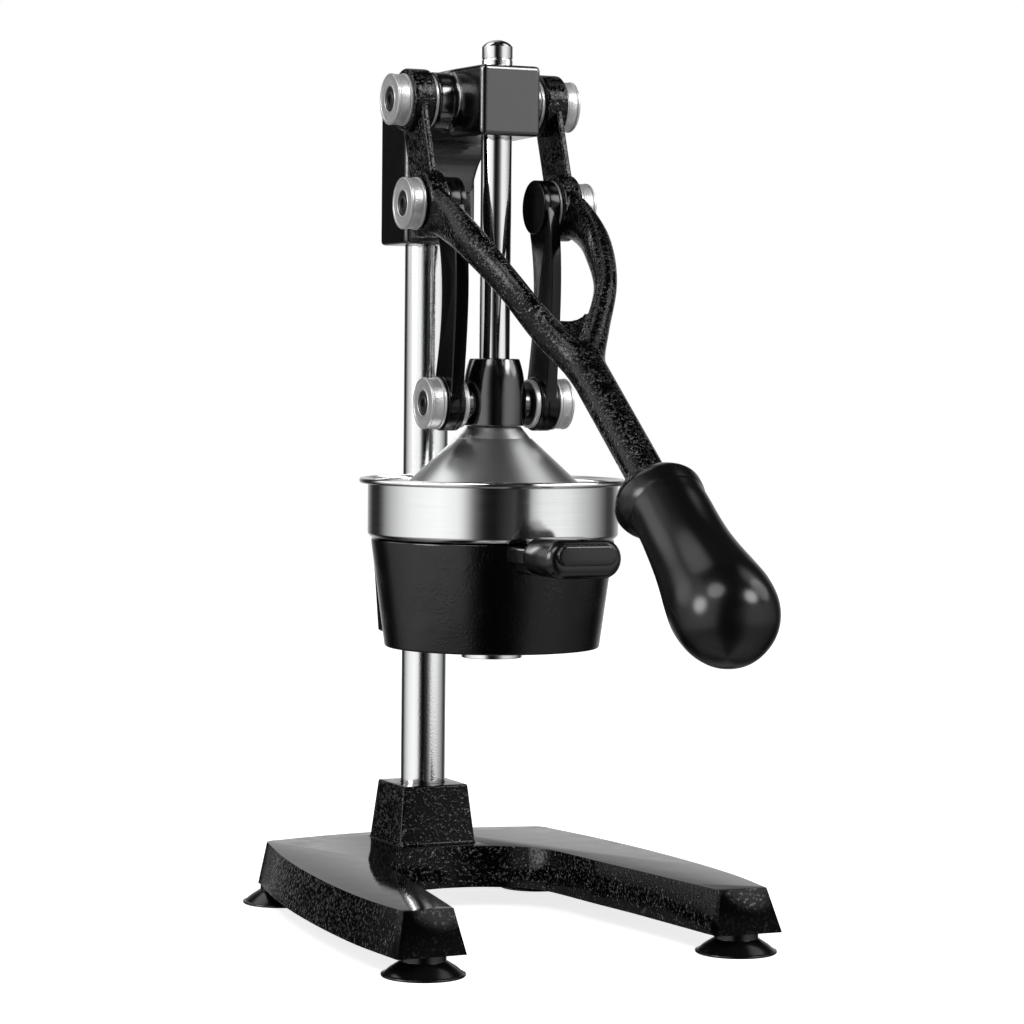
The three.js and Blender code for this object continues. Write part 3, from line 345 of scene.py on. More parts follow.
def turnedFinish(name, look, centre, axis="Z"):
    # Metal worked round an axis: streaks that follow the turning, with slow changes along them
    material, tree, shader, place = newMaterial(name, look, 1)
    parts = splitNode(tree, vectorNode(tree, "SUBTRACT", place, centre)[0])
    first, second, along = (parts[k] for k in {"Z": "XYZ", "X": "YZX"}[axis])
    flat = nodeOf(tree, "CombineXYZ", first, second).outputs[0]
    unit = splitNode(tree, vectorNode(tree, "NORMALIZE", flat)[0])
    across = mathNode(tree, "SUBTRACT", along, vectorNode(tree, "LENGTH", flat)["Value"])

    def streaks(width, turns, detail):
        scaled = ((unit["X"], turns), (unit["Y"], turns), (across, 1 / (width * mm)))
        streak = nodeOf(tree, "CombineXYZ", *(mathNode(tree, "MULTIPLY", *pair) for pair in scaled))
        return noiseNode(tree, streak.outputs[0], 1 / mm, detail, 0.6)

    fine = streaks(look["line"], look["lineTurns"], 3)
    broad = streaks(look["line"] * 9, look["lineTurns"] / 2, 1)
    normal = bumpNode(tree, fine, look["lineDepth"])
    if "pit" in look:
        pits = rangeNode(tree, noiseNode(tree, place, look["pit"], 2, 0.6), 0, 1, 0.3, 0.7)
        normal = bumpNode(tree, pits, look["pitDepth"], normal)
    dark = (v * look["shade"] for v in look["colour"])
    tint = nodeOf(tree, "Mix", rangeNode(tree, fine, 0, 1, 0.25, 0.6), data_type="RGBA",
                  inputs={6: (*dark, 1), 7: (*look["colour"], 1)})
    feed(tree, shader, {
        "Normal": normal, "Roughness": roughnessOf(tree, broad, look), "Base Color": tint.outputs[2],
    })
    return material


def mouldedFinish(name, look, seam=None):
    # Rubber or plastic out of a mould: a fine even grain, slow flow waves, and a seam in the parting plane
    material, tree, shader, place = newMaterial(name, look)
    flow = noiseNode(tree, place, look["flow"], 1)
    normal = bumpNode(tree, flow, look["flowDepth"])
    normal = bumpNode(tree, noiseNode(tree, place, look["grain"]), look["grainDepth"], normal)
    if seam:
        origin, way = seam
        offset = mathNode(tree, "SUBTRACT", dotNode(tree, place, way), origin.dot(way))
        ridge = rangeNode(tree, mathNode(tree, "ABSOLUTE", offset), 1, 0, 0, look["seam"] * mm, True)
        normal = bumpNode(tree, ridge, look["seamDepth"], normal)
    feed(tree, shader, {"Normal": normal, "Roughness": roughnessOf(tree, flow, look)})
    return material


castLook = {"colour": (0.0016, 0.0016, 0.0017), "roughness": 0.1, "roughnessSpread": 0.03, "specular": 0.2,
            "peakSpecular": 1, "pebble": 1.5, "pebbleFrom": 0.47, "pebbleTo": 0.74, "pebbleDepth": 0.36, "wave": 18,
            "waveDepth": 0.25, "peel": 0.6, "peelDepth": 0.012, "patch": 9, "patchLow": 0.25, "flatTop": 1}
# The arm ends of the base lose their pebbles and most of their reflection, a painted shade that keeps them dark
baseLook = dict(castLook, roughness=0.08, flatTop=0.02, patchLow=0.3, specular=0.12, peakSpecular=0.8, pebble=1.7,
                pebbleFrom=0.5, pebbleDepth=0.5, smoothAndShadedEnd=-120, endShadeLustre=0.3, waveDepth=0.12)
holderLook = dict(castLook, roughness=0.12, pebbleDepth=0.06, patchLow=0, patch=14, specular=0.45, peakSpecular=0.45)
smoothLook = dict(castLook, colour=(0.002, 0.002, 0.0021), roughness=0.16, roughnessSpread=0.02, ior=2.05,
                  specular=0.5, peakSpecular=0.5, pebble=2.2, pebbleFrom=0.36, pebbleDepth=0.015, wave=22,
                  waveDepth=0.08, peel=0.7, peelDepth=0.003, patch=12, patchLow=0.2)
linkLook = dict(smoothLook, ior=1.5, pebbleDepth=0.01, specular=0.26, peakSpecular=0.26)
chromeLook = {"colour": (0.8, 0.805, 0.81), "roughness": 0.08, "roughnessSpread": 0.02, "line": 0.25,
              "lineTurns": 5, "lineDepth": 0.001, "shade": 0.95}
columnFinish = dict(chromeLook, pit=0.9, pitDepth=0.02)
steelLook = dict(chromeLook, colour=(0.82, 0.825, 0.83), roughness=0.15, line=0.16, lineTurns=2.5, lineDepth=0.0016)
bellLook = dict(steelLook, colour=(0.7, 0.705, 0.71), roughness=0.3, roughnessSpread=0.006, lineDepth=0.0001)
capLook = {"colour": (0.62, 0.62, 0.625), "roughness": 0.36, "roughnessSpread": 0.05, "metallic": 0.55, "line": 0.13,
           "lineTurns": 1.5, "lineDepth": 0.005, "shade": 0.7, "pit": 0.6, "pitDepth": 0.035}
gripLook = {"colour": (0.004, 0.004, 0.0043), "roughness": 0.22, "roughnessSpread": 0.02, "specular": 0.4,
            "grain": 0.35, "grainDepth": 0.003, "flow": 34, "flowDepth": 0.1, "seam": 0.25, "seamDepth": 0.05}
footLook = dict(gripLook, roughness=0.18, grainDepth=0.002)
ringLook = dict(gripLook, roughness=0.35)
plugLook = dict(gripLook, colour=(0.012, 0.012, 0.0125), roughness=0.3, specular=0.8, grain=0.8, grainDepth=0.1)
plasticLook = dict(gripLook, roughness=0.2, flowDepth=0.03, specular=0.5)

leverSlope = math.radians(37.07)
shaftWay = Vector((0, -math.cos(leverSlope), -math.sin(leverSlope)))
shaftUp = Vector((0, -math.sin(leverSlope), math.cos(leverSlope)))
forkClose = Vector((0, pivots["middle"][0] - 108.2, pivots["middle"][1] - 81))

rodCentre = (0, axisY, 0)
columnCentre = (0, axisY + columnY * mm, 0)
castPaint = paintFinish("castPaint", castLook)
basePaint = paintFinish("basePaint", baseLook)
holderPaint = paintFinish("holderPaint", holderLook)
smoothPaint = paintFinish("smoothPaint", smoothLook)
linkPaint = paintFinish("linkPaint", linkLook)
rodChrome = turnedFinish("rodChrome", chromeLook, rodCentre)
columnChrome = turnedFinish("columnChrome", columnFinish, columnCentre)
spunSteel = turnedFinish("spunSteel", steelLook, rodCentre)
bellSteel = turnedFinish("bellSteel", bellLook, rodCentre)
capSteel = {
    name: turnedFinish(name + "CapSteel", capLook, (0, axisY + y * mm, z * mm), "X") for name, (y, z) in pivots.items()
}
gripRubber = mouldedFinish("gripRubber", gripLook, (toFrame @ forkClose, shaftUp))
footRubber = mouldedFinish("footRubber", footLook)
ringRubber = mouldedFinish("ringRubber", ringLook)
plugBlack = mouldedFinish("plugBlack", plugLook)
plasticBlack = mouldedFinish("plasticBlack", plasticLook)
print("finishes ready")

# Ways of shaping

pieceWeld, turnWeld = 0.004, 0.0005


def makePiece(name, bm, body, slotName, material, *replaced, sharp=30):
    bmesh.ops.transform(bm, matrix=toFrame, verts=bm.verts)
    bmesh.ops.remove_doubles(bm, verts=bm.verts, dist=pieceWeld * mm)
    bmesh.ops.recalc_face_normals(bm, faces=bm.faces)
    mesh = meshOf(bm, name)
    mesh.shade_smooth()
    mesh.set_sharp_from_angle(angle=math.radians(sharp))
    mesh.materials.append(material)
    piece = placed(name, mesh)
    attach(piece, body)
    if replaced:
        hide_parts(*replaced)


def rounded(profile, segments=4):
    # Each point may hold a third number, the radius of its corner
    points = [Vector(point[:2]) for point in profile]
    made = []
    for k, point in enumerate(profile):
        radius = point[2] if len(point) > 2 else 0
        if radius == 0 or k in (0, len(profile) - 1):
            made.append(points[k])
            continue
        before, after = points[k - 1] - points[k], points[k + 1] - points[k]
        reach = min(radius / math.tan(before.angle(after) / 2), before.length / 2, after.length / 2)
        start = points[k] + before.normalized() * reach
        end = points[k] + after.normalized() * reach
        for n in range(segments + 1):
            t = n / segments
            made.append(start * (1 - t) ** 2 + points[k] * 2 * t * (1 - t) + end * t ** 2)
    return made


def turned(profile, steps=96, closed=False, segments=4):
    bm = bmesh.new()
    verts = [bm.verts.new((r, 0, z)) for r, z in rounded(profile, segments)]
    edges = [bm.edges.new(pair) for pair in zip(verts, verts[1:])]
    if closed:
        edges.append(bm.edges.new((verts[-1], verts[0])))
    bmesh.ops.spin(bm, geom=verts + edges, axis=(0, 0, 1), angle=2 * math.pi, steps=steps, use_merge=True)
    bmesh.ops.remove_doubles(bm, verts=bm.verts, dist=turnWeld)
    return bm


def grown(rings):
    # A closed section that grows from ring to ring, with flat ends
    bm = bmesh.new()
    order = bm.verts.layers.int.new("order")
    verts = [bm.verts.new(point) for point in rings[0]]
    for k, vert in enumerate(verts):
        vert[order] = k
    rim = [bm.edges.new((verts[k - 1], vert)) for k, vert in enumerate(verts)]
    bmesh.ops.contextual_create(bm, geom=rim)
    for ring in rings[1:]:
        made = bmesh.ops.extrude_edge_only(bm, edges=rim)["geom"]
        fresh = {v for v in made if isinstance(v, bmesh.types.BMVert)}
        rim = [e for e in made if isinstance(e, bmesh.types.BMEdge) and fresh.issuperset(e.verts)]
        for vert in fresh:
            vert.co = ring[vert[order]]
    bmesh.ops.contextual_create(bm, geom=rim)
    bm.verts.layers.int.remove(order)
    return bm


def arc(x, y, radiusX, radiusY, first, last, steps):
    # Points of an ellipse about (x, y) between two angles in degrees
    angles = [math.radians(first + (last - first) * k / steps) for k in range(steps + 1)]
    return [(x + radiusX * math.cos(angle), y + radiusY * math.sin(angle)) for angle in angles]


def smoothLine(points, steps):
    # A smooth line through points of any dimension, with even steps between them
    points = [Vector(point) for point in points]
    ends = [points[0] * 2 - points[1], *points, points[-1] * 2 - points[-2]]
    line = []
    for k in range(len(points) - 1):
        before, start, end, after = ends[k:k + 4]
        for n in range(steps):
            t = n / steps
            line.append((start * 2 + (end - before) * t + (before * 2 - start * 5 + end * 4 - after) * t ** 2
                         + (start * 3 - before - end * 3 + after) * t ** 3) / 2)
    return line + [points[-1]]


def moved(bm, matrix):
    bmesh.ops.transform(bm, matrix=matrix, verts=bm.verts)
    return bm


def raised(x, y, z=0.0):
    return Matrix.Translation((x, y, z))


toRear, toFront = (Matrix.Rotation(side * math.pi / 2, 4, "X") for side in (-1, 1))


def outward(bm, side, place):
    # Turns a shape about Z to run outward along X from a pivot
    return moved(bm, raised(0, *pivots[place]) @ Matrix.Rotation(side * math.pi / 2, 4, "Y"))


def combined(*shapes):
    whole = bmesh.new()
    for bm in shapes:
        mesh = meshOf(bm, "part")
        whole.from_mesh(mesh)
        bpy.data.meshes.remove(mesh)
    return whole


def helper(bm, name="shape"):
    bmesh.ops.recalc_face_normals(bm, faces=bm.faces)
    return placed(name, meshOf(bm, name))


def applied(made, *spares):
    # The shape after its modifiers, and no helper is left
    bpy.context.view_layer.update()
    mesh = bpy.data.meshes.new_from_object(made.evaluated_get(bpy.context.evaluated_depsgraph_get()))
    bm = bmesh.new()
    bm.from_mesh(mesh)
    bpy.data.meshes.remove(mesh)
    for spare in (made, *spares):
        bpy.data.objects.remove(spare)
    return bm


def cast(bm, voxel, passes):
    # Melts overlapping shapes into one skin, with soft edges and fillets where they meet
    made = helper(bm)
    melt = made.modifiers.new("melt", "REMESH")
    melt.mode, melt.voxel_size = "VOXEL", voxel
    soft = made.modifiers.new("soft", "SMOOTH")
    soft.factor, soft.iterations = 0.5, passes
    return applied(made)


def carved(bm, operation, *tools):
    made = helper(bm)
    cutters = [helper(tool, f"cutter{k}") for k, tool in enumerate(tools)]
    for k, cutter in enumerate(cutters):
        step = made.modifiers.new(f"cut{k}", "BOOLEAN")
        step.object, step.operation, step.solver = cutter, operation, "EXACT"
    return applied(made, *cutters)


def softened(bm, edge, segments=3, least=0.6):
    # Bevels every edge that turns more than the least angle
    bmesh.ops.recalc_face_normals(bm, faces=bm.faces)
    bm.normal_update()
    rims = [e for e in bm.edges if e.calc_face_angle(0) > least]
    bmesh.ops.bevel(bm, geom=rims, offset=edge, affect="EDGES", segments=segments, profile=0.5, material=-1,
                    clamp_overlap=True)
    return bm


def block(low, high, edge, segments=3):
    bm = bmesh.new()
    size = [h - l for l, h in zip(low, high)]
    middle = [(h + l) / 2 for l, h in zip(low, high)]
    bmesh.ops.create_cube(bm, size=1, matrix=Matrix.Translation(middle) @ Matrix.Diagonal((*size, 1)))
    return softened(bm, edge, segments) if edge else bm


def rod(radius, low, high, x=0.0, y=0.0, steps=96):
    return moved(turned([(0, low), (radius, low), (radius, high), (0, high)], steps), raised(x, y))


def plateAcross(outline, low, high, edge):
    # A flat plate from its outline in (y, z), standing along X, with its edges softened
    bm = grown([[Vector((x, y, z)) for y, z in outline] for x in (low, high)])
    return softened(bm, edge) if edge else bm


def squareRing(halfX, halfY, corner, y, z, steps=4):
    # A rounded rectangle about a point on the middle plane
    ring = []
    for quarter, (signX, signY) in enumerate(((1, 1), (-1, 1), (-1, -1), (1, -1))):
        ring += arc(signX * (halfX - corner), y + signY * (halfY - corner), corner, corner, quarter * 90,
                    quarter * 90 + 90, steps)
    return [Vector((*spot, z)) for spot in ring]


def hexSocket(bm, radius, reach):
    # Draws the inner wall of a turned shape onto six flats
    for vert in bm.verts:
        distance = math.hypot(vert.co.x, vert.co.y)
        if 0.01 < distance < reach:
            turn = math.atan2(vert.co.y, vert.co.x) % (math.pi / 3) - math.pi / 6
            scale = radius * math.cos(math.pi / 6) / math.cos(turn) / distance
            vert.co.x *= scale
            vert.co.y *= scale
    return bm


# Column and rod

columnSize = {"radius": 12.15, "edge": 0.8}
rodSize = {"radius": 8, "crown": 3.7, "crownFrom": 24, "groove": 10.2, "grooveWidth": 0.7, "grooveDepth": 0.35}


def makeColumn(look):
    low, high = columnLow.z, columnHigh.z
    bm = turned([(0, low), (look["radius"], low, look["edge"]), (look["radius"], high, look["edge"]), (0, high)], 128)
    makePiece("columnBar", moved(bm, raised(0, columnY)), "stand", "chrome", columnChrome, "column")


def makeRod(look):
    low, high = rodLow.z / mm, rodHigh.z / mm
    radius, groove = look["radius"], high - look["groove"]
    shoulder = high - look["crown"]
    half, inner = look["grooveWidth"] / 2, radius - look["grooveDepth"]
    first, share = look["crownFrom"], math.sin(math.radians(look["crownFrom"]))
    wide, tall = radius / math.cos(math.radians(first)), look["crown"] / (1 - share)
    profile = [(0, low), (radius, low, 0.3), (radius, groove - half, 0.15), (inner, groove - half, 0.15),
               (inner, groove + half, 0.15), (radius, groove + half, 0.15), (radius, shoulder - 0.1),
               *arc(0, shoulder - tall * share, wide, tall, first, 90, 12)]
    makePiece("rodBar", turned(profile), "plunger", "chrome", rodChrome, "plunger_rod")


makeColumn(columnSize)
makeRod(rodSize)
print("bars ready")

# Pivot bolts: a cap with a bead at its face, a band and a flange, a dark plug, a dark ring, and a washer or spacer

boltSize = {"radius": 13.6, "band": 13.1, "bead": 13.35, "beadWidth": 1.5, "flange": 1.1, "groove": 0.5,
            "faceDish": 0.25, "faceRim": 1.4, "ring": 7.1, "recess": 6.5, "recessDepth": 2.4, "socket": 2.3,
            "shank": 4.9, "upperInset": 1.3, "rimWidth": 1.3, "rimStep": 0.35,
            "places": {"upper": ("stand", "washer"), "middle": ("lever", "spacer"), "lower": ("plunger", "washer")}}


def boltCap(look, inner, outer):
    radius, band, bead = look["radius"], look["band"], look["bead"]
    flange, groove, neck = inner + look["flange"], look["groove"], outer - look["beadWidth"]
    face, floor = outer - look["faceDish"], outer - look["recessDepth"]
    return turned([
        (0, inner), (radius, inner, 0.2), (radius, flange, 0.25), (band - 0.3, flange + 0.1, 0.1),
        (band - 0.3, flange + groove, 0.1), (band, flange + groove + 0.1, 0.15), (band, neck - 0.35, 0.15),
        (band - 0.25, neck - 0.15, 0.1), (band - 0.25, neck, 0.1), (bead, neck + 0.2, 0.2), (bead, outer, 0.9),
        (bead - look["faceRim"], outer, 0.2), (bead - look["faceRim"] - 0.25, face, 0.2),
        (look["ring"] + 0.2, face, 0.15), (look["ring"], outer - 0.05, 0.2), (look["recess"] + 0.25, outer - 0.05, 0.2),
        (look["recess"], outer - 0.6, 0.2), (look["recess"], floor), (0, floor),
    ], segments=3)


def boltPlug(look, outer):
    # The dark plug in the recess, with a raised rim round a six-sided socket
    floor = outer - look["recessDepth"]
    top, edge, socket = outer - 0.25, look["recess"] - 0.12, look["socket"]
    bm = turned([(0, floor), (edge, floor), (edge, top, 0.25), (edge - 1.3, top, 0.15), (edge - 1.5, top - 0.3, 0.15),
                 (socket + 1.3, top - 0.3, 0.15), (socket + 1.1, top, 0.15), (socket, top, 0.12),
                 (socket, top - 1.1), (0, top - 1.1)], 60)
    return hexSocket(bm, socket + 0.25, socket + 0.2)


def makeBolts(look):
    shank, sealRadius = look["shank"], look["radius"] - 0.4
    for place, (body, spacerKind) in look["places"].items():
        for hand, side in sides:
            bolt, seal, spacer = (f"{place}_{kind}_{hand}" for kind in ("pivot_bolt", "ring", spacerKind))
            inset = look["upperInset"] if place == "upper" else 0
            outer = spanAcross(bolt)[1] - inset
            near, far = (x - inset for x in spanAcross(seal))

            def add(name, bm, slotName, material, *replaced):
                makePiece(f"{name}_{hand}", outward(bm, side, place), body, slotName, material, *replaced)

            def ring(*profile):
                return turned(profile, closed=True)

            add(place + "_cap", boltCap(look, far + 0.1, outer), "machined", capSteel[place], bolt)
            add(place + "_plug", boltPlug(look, outer), "rubber", plugBlack)
            add(place + "_seal", ring((shank, near), (sealRadius, near, 0.25), (sealRadius, far, 0.25), (shank, far)),
                "rubber", ringRubber, seal)
            bottom, top = heightsOf(spacer)
            near, far = spanAcross(spacer)
            radius, edge = (top - bottom) / 2, min(0.35, (far - near) / 4)
            inside = [(shank, near)]
            if place == "lower":
                # A bright rim stands a step proud of a black disc on the side of the yoke
                rim, step = radius - look["rimWidth"], near + look["rimStep"]
                inside = [(shank, step + 0.1), (rim, step + 0.1), (rim, near, 0.1)]
                disc = ring((shank, near + 0.05), (rim - 0.05, near + 0.05, 0.1), (rim - 0.05, step), (shank, step))
                add("lowerWasherDisc", disc, "rubber", ringRubber)
            add(place + "WasherRing", ring(*inside, (radius, near, edge), (radius, far, edge), (shank, far)),
                "machined", capSteel[place], spacer)


makeBolts(boltSize)
print("bolts ready")

# Lever casting and its grip

leverSize = {
    "upperHub": 16.3, "middleHub": 17.4, "upperHubSpan": (31.4, 43.8), "middleHubSpan": (32.7, 43.0),
    "armHalf": 13.9, "armWaist": 13.6, "armSpan": (36.4, 40.1), "armEdge": 0.9, "armTrim": 6, "shaft": 9.65,
    "shaftFrom": -8, "shaftLength": 101.5, "reach": 108.2, "drop": 81, "closeHalfSpan": 2.9, "voxel": 0.74,
    "passes": 6, "steps": 36,
    "stations": ((1, 0, 0, 4.8, 13.0), (1, 0.226, 0.101, 5.0, 11.6), (0.915, 0.465, 0.267, 6.9, 9.4),
                 (0.69, 0.709, 0.521, 5.7, 8.4), (0.33, 0.86, 0.799, 6.4, 8.6), (0, 1, 1, 8.4, 9.0)),
    "tail": 20, "web": ((-37, 13.4), (-32, 15), (-29, 16), (-20, 12), (-12, 8), (-2, 5)), "webThick": 4.6,
    "webBow": 15.5, "webEnd": -28.5,
}
gripSize = {
    "start": 95, "bore": 9.95, "boreDepth": 7, "steps": 112,
    "stations": ((0, 14.6, -2.6), (0.5, 15.5, -2.6), (1.6, 16.9, -2.55), (2.7, 17.9, -2.35), (3.3, 18.0, -2.3),
                 (5.2, 19.5, -1.9), (9.5, 21.5, -1.1), (13.5, 21.3, -0.4), (17, 20.5, 0.5), (19.4, 19.4, 1.6),
                 (20.6, 18.95, 2.15), (24, 18.8, 2.35), (30, 18.7, 2.6), (42, 19.1, 1.9), (54, 20, 1.4),
                 (66, 21.6, 1.2), (78, 23.6, 1.1), (88, 24.8, 1.3), (97, 24.3, 1.7), (104, 22.4, 1.8),
                 (110, 18.9, 1.5), (115, 13.4, 0.8), (117.8, 8.4, 0.2), (119, 3.6, 0), (119.2, 0.6, 0)),
}


def bowedBar(start, end, bow, waist, half, steps=12, skew=0.0):
    # The outline of a bar between two points of (y, z), bowed to the front, more so near its start with a skew
    start, end = Vector(start), Vector(end)
    along = end - start
    out = Vector((along.y, -along.x)).normalized()
    front, back = [], []
    for k in range(steps + 1):
        share = k / steps
        crown = 4 * share * (1 - share)
        middle = start + along * share + out * bow * crown * (1 + skew * (1 - 2 * share))
        reach = out * (half + (waist - half) * crown)
        front.append(middle + reach)
        back.append(middle - reach)
    return front + back[::-1]


def sweptArm(look, side):
    least, most = look["closeHalfSpan"], sum(look["middleHubSpan"]) / 2
    y, z = pivots["middle"]
    spots = []
    for spread, reach, drop, width, depth in look["stations"]:
        x = least + (most - least) * spread
        spots.append((side * x, y - look["reach"] * reach, z - look["drop"] * drop, width, depth))
    tail = forkClose + shaftWay * look["tail"]
    spots.append((0, tail.y, tail.z, look["shaft"] - 0.3, look["shaft"] - 0.3))
    line = smoothLine(spots, 8)
    rings = []
    for k, spot in enumerate(line):
        nearby = line[max(k - 1, 0)], line[min(k + 1, len(line) - 1)]
        tangent = (nearby[1].to_3d() - nearby[0].to_3d()).normalized()
        wide = tangent.cross(shaftUp).normalized()
        deep = wide.cross(tangent)
        section = arc(0, 0, spot[3], spot[4], 0, 360, look["steps"])[:-1]
        rings.append([spot.to_3d() + wide * x + deep * y for x, y in section])
    return grown(rings)


def shaftMatrix(along=0.0):
    turn = Matrix((Vector((1, 0, 0)), shaftUp, shaftWay)).transposed().to_4x4()
    return Matrix.Translation(forkClose + shaftWay * along) @ turn


def makeLever(look):
    shapes, arms = [], []
    for side in (-1, 1):
        for place in ("upper", "middle"):
            near, far = look[place + "HubSpan"]
            radius = look[place + "Hub"]
            hub = turned([(0, near), (radius, near, 0.8), (radius, far, 1.2), (0, far)])
            shapes.append(outward(hub, side, place))
        near, far = sorted(side * x for x in look["armSpan"])
        trim = (Vector(pivots["middle"]) - Vector(pivots["upper"])).normalized() * look["armTrim"]
        bar = bowedBar(Vector(pivots["upper"]) + trim, Vector(pivots["middle"]) - trim, 0, look["armWaist"],
                       look["armHalf"])
        arms.append(plateAcross(bar, near, far, look["armEdge"]))
        shapes.append(sweptArm(look, side))
    shaft = turned([(0, look["shaftFrom"]), (look["shaft"], look["shaftFrom"], 4),
                    (look["shaft"], look["shaftLength"], 1), (0, look["shaftLength"])], 64)
    shapes.append(moved(shaft, shaftMatrix()))
    web = grown([squareRing(half, look["webThick"], 2, 0, along) for along, half in look["web"]])
    bow = look["webBow"]
    hollow = moved(rod(bow, -20, 20), raised(0, 0, look["webEnd"] - bow) @ toFront)
    shapes.append(moved(carved(web, "DIFFERENCE", hollow), shaftMatrix()))
    bm = carved(cast(combined(*shapes), look["voxel"], look["passes"]), "UNION", *arms)
    makePiece("leverForging", bm, "lever", "cast_paint", castPaint, "lever_casting", sharp=60)


def makeGrip(look):
    # Rings along the shaft, each with its own radius and lift: a flange that bulges below, a waist and a bulb
    def ring(along, radius, lift):
        return [Vector((*spot, along)) for spot in arc(0, lift, radius, radius, 0, 360, look["steps"])[:-1]]

    bore = look["bore"]
    rings = [ring(look["boreDepth"], bore, 0), ring(0.7, bore, 0), ring(0.1, bore + 0.5, 0), ring(0, bore + 1, -0.3)]
    rings += [ring(*spot) for spot in smoothLine(look["stations"], 4)]
    makePiece("leverGripMoulding", moved(grown(rings), shaftMatrix(look["start"])), "lever", "rubber", gripRubber,
              "lever_grip", sharp=75)


makeLever(leverSize)
makeGrip(gripSize)
print("lever ready")

# Links, yoke, bell

linkSize = {"hub": 14.2, "bow": 8.7, "skew": 0.35, "outerHalf": (9.2, 13.4), "innerHalf": (11.8, 14.1),
            "inset": (1.6, 1.15), "edge": 0.7, "split": 3.4, "splitWidth": 0.5, "splitDepth": 0.6}
yokeSize = {"topRadius": 13, "radius": 16.3, "footRadius": 15.7, "boss": 8, "bossTo": 18.7, "bore": 8.25,
            "voxel": 0.42, "passes": 3}
bellSize = {"wall": 1.6, "neck": 14, "collar": 19.2, "collarDrop": 6.3, "step": 0.6, "cone": 47, "coneDrop": 31.5,
            "skirt": 56, "hole": 3.4}


def linkHub(look, near, far):
    # A disc with a fine split line round it
    radius, split, half = look["hub"], near + look["split"], look["splitWidth"] / 2
    inner = radius - look["splitDepth"]
    return turned([(0, near), (radius, near, 0.7), (radius, split - half, 0.3), (inner, split - half, 0.1),
                   (inner, split + half, 0.1), (radius, split + half, 0.3), (radius, far, 0.7), (0, far)])


def makeLinks(look):
    for hand, side in sides:
        near, far = spanAcross(f"link_{hand}")
        # The bar narrows from its inner face to its outer one, by the draft of its casting
        faces = ((near + look["inset"][0], look["innerHalf"]), (far - look["inset"][1], look["outerHalf"]))
        rings = []
        for x, halves in faces:
            outline = bowedBar(pivots["middle"], pivots["lower"], look["bow"], *halves, 16, look["skew"])
            rings.append([Vector((side * x, y, z)) for y, z in outline])
        bm = softened(grown(rings), look["edge"])
        hubs = [outward(linkHub(look, near, far), side, place) for place in ("middle", "lower")]
        makePiece(f"linkBar_{hand}", carved(bm, "UNION", *hubs), "links", "smooth_paint", linkPaint, f"link_{hand}")


def makeYoke(look):
    bottom, top = heightsOf("yoke")
    flank = smoothLine([(look["footRadius"], bottom), (look["radius"], top - 22), (look["radius"] - 0.6, top - 12),
                        (look["radius"] - 1.7, top - 5.5), (look["topRadius"], top)], 5)
    shapes = [turned([(0, bottom), *((spot.x, spot.y) for spot in flank), (0, top)])]
    for side in (-1, 1):
        boss = turned([(0, 6), (look["boss"], 6), (look["boss"], look["bossTo"], 0.4), (0, look["bossTo"])], 64)
        shapes.append(outward(boss, side, "lower"))
    bm = cast(combined(*shapes), look["voxel"], look["passes"])
    bm = carved(bm, "DIFFERENCE", rod(look["bore"], bottom - 5, top + 5))
    makePiece("yokeBody", bm, "plunger", "smooth_paint", smoothPaint, "yoke", sharp=45)


def makeBell(look):
    (bottom, top), wall = heightsOf("press_bell"), look["wall"]
    collarZ, coneZ = top - look["collarDrop"], top - look["coneDrop"]
    hole, collar, cone, skirt = (look[k] for k in ("hole", "collar", "cone", "skirt"))
    outside = [(hole, top), (look["neck"], top, 0.8), (collar, collarZ, 0.25), (collar + look["step"], collarZ, 0.25),
               ((collar + cone) / 2 + 0.3, (collarZ + coneZ) / 2 + 0.1), (cone, coneZ, 6),
               (skirt - 1.6, coneZ - 8, 8), (skirt, bottom, 0.5)]
    inside = [(skirt - wall, bottom, 0.3), (skirt - 3, coneZ - 8, 8), (cone - wall, coneZ - 1.5, 6),
              ((collar + cone) / 2 - wall, (collarZ + coneZ) / 2 - 0.9), (collar - 0.9, collarZ - wall),
              (look["neck"] - 3, top - 3, 1), (hole, top - 3)]
    makePiece("bellSpinning", turned(outside + inside, 160, closed=True, segments=6), "plunger", "stainless",
              bellSteel, "press_bell")


makeLinks(linkSize)
makeYoke(yokeSize)
makeBell(bellSize)
print("links, yoke and bell ready")

# Head casting

headSize = {
    "halfWidth": 16.5, "flare": 19.2, "flareTo": 16, "front": -18.7, "height": 36.3, "sleeveHalf": 20.4,
    "sleeveFront": 73.3, "sleeveBack": 110.5, "boss": 15, "bossTo": 29, "gusset": 36, "gussetFrom": 40,
    "edge": 2.2, "collar": 15.5, "collarTo": 20.3, "voxel": 0.72, "passes": 2, "rodBore": 8.3,
    "columnBore": 12.45, "screwDrops": (26, 66), "overlap": 2, "rearSetback": 6,
}
screwSize = {"radius": 4, "socket": 2.1, "near": 12.5, "depth": 3, "sunk": 0.4}


def setScrew(name, look, z, surface, past):
    # Makes a flush set screw with a six-sided socket, facing the rear, and gives the cutter of its hole
    radius, socket, near, far = look["radius"] - 0.1, look["socket"], look["near"], surface - look["sunk"]
    floor = far - look["depth"]
    bm = turned([(socket, floor), (socket, far, 0.2), (radius, far, 0.5), (radius, near), (0, near), (0, floor),
                 (socket, floor)], 48)
    place = raised(0, columnY, z) @ toRear
    makePiece(name + "Turned", moved(hexSocket(bm, socket + 0.2, socket + 0.1), place), "stand", "machined",
              columnChrome, name)
    return moved(rod(look["radius"] + 0.2, 0, surface + past, steps=48), place)


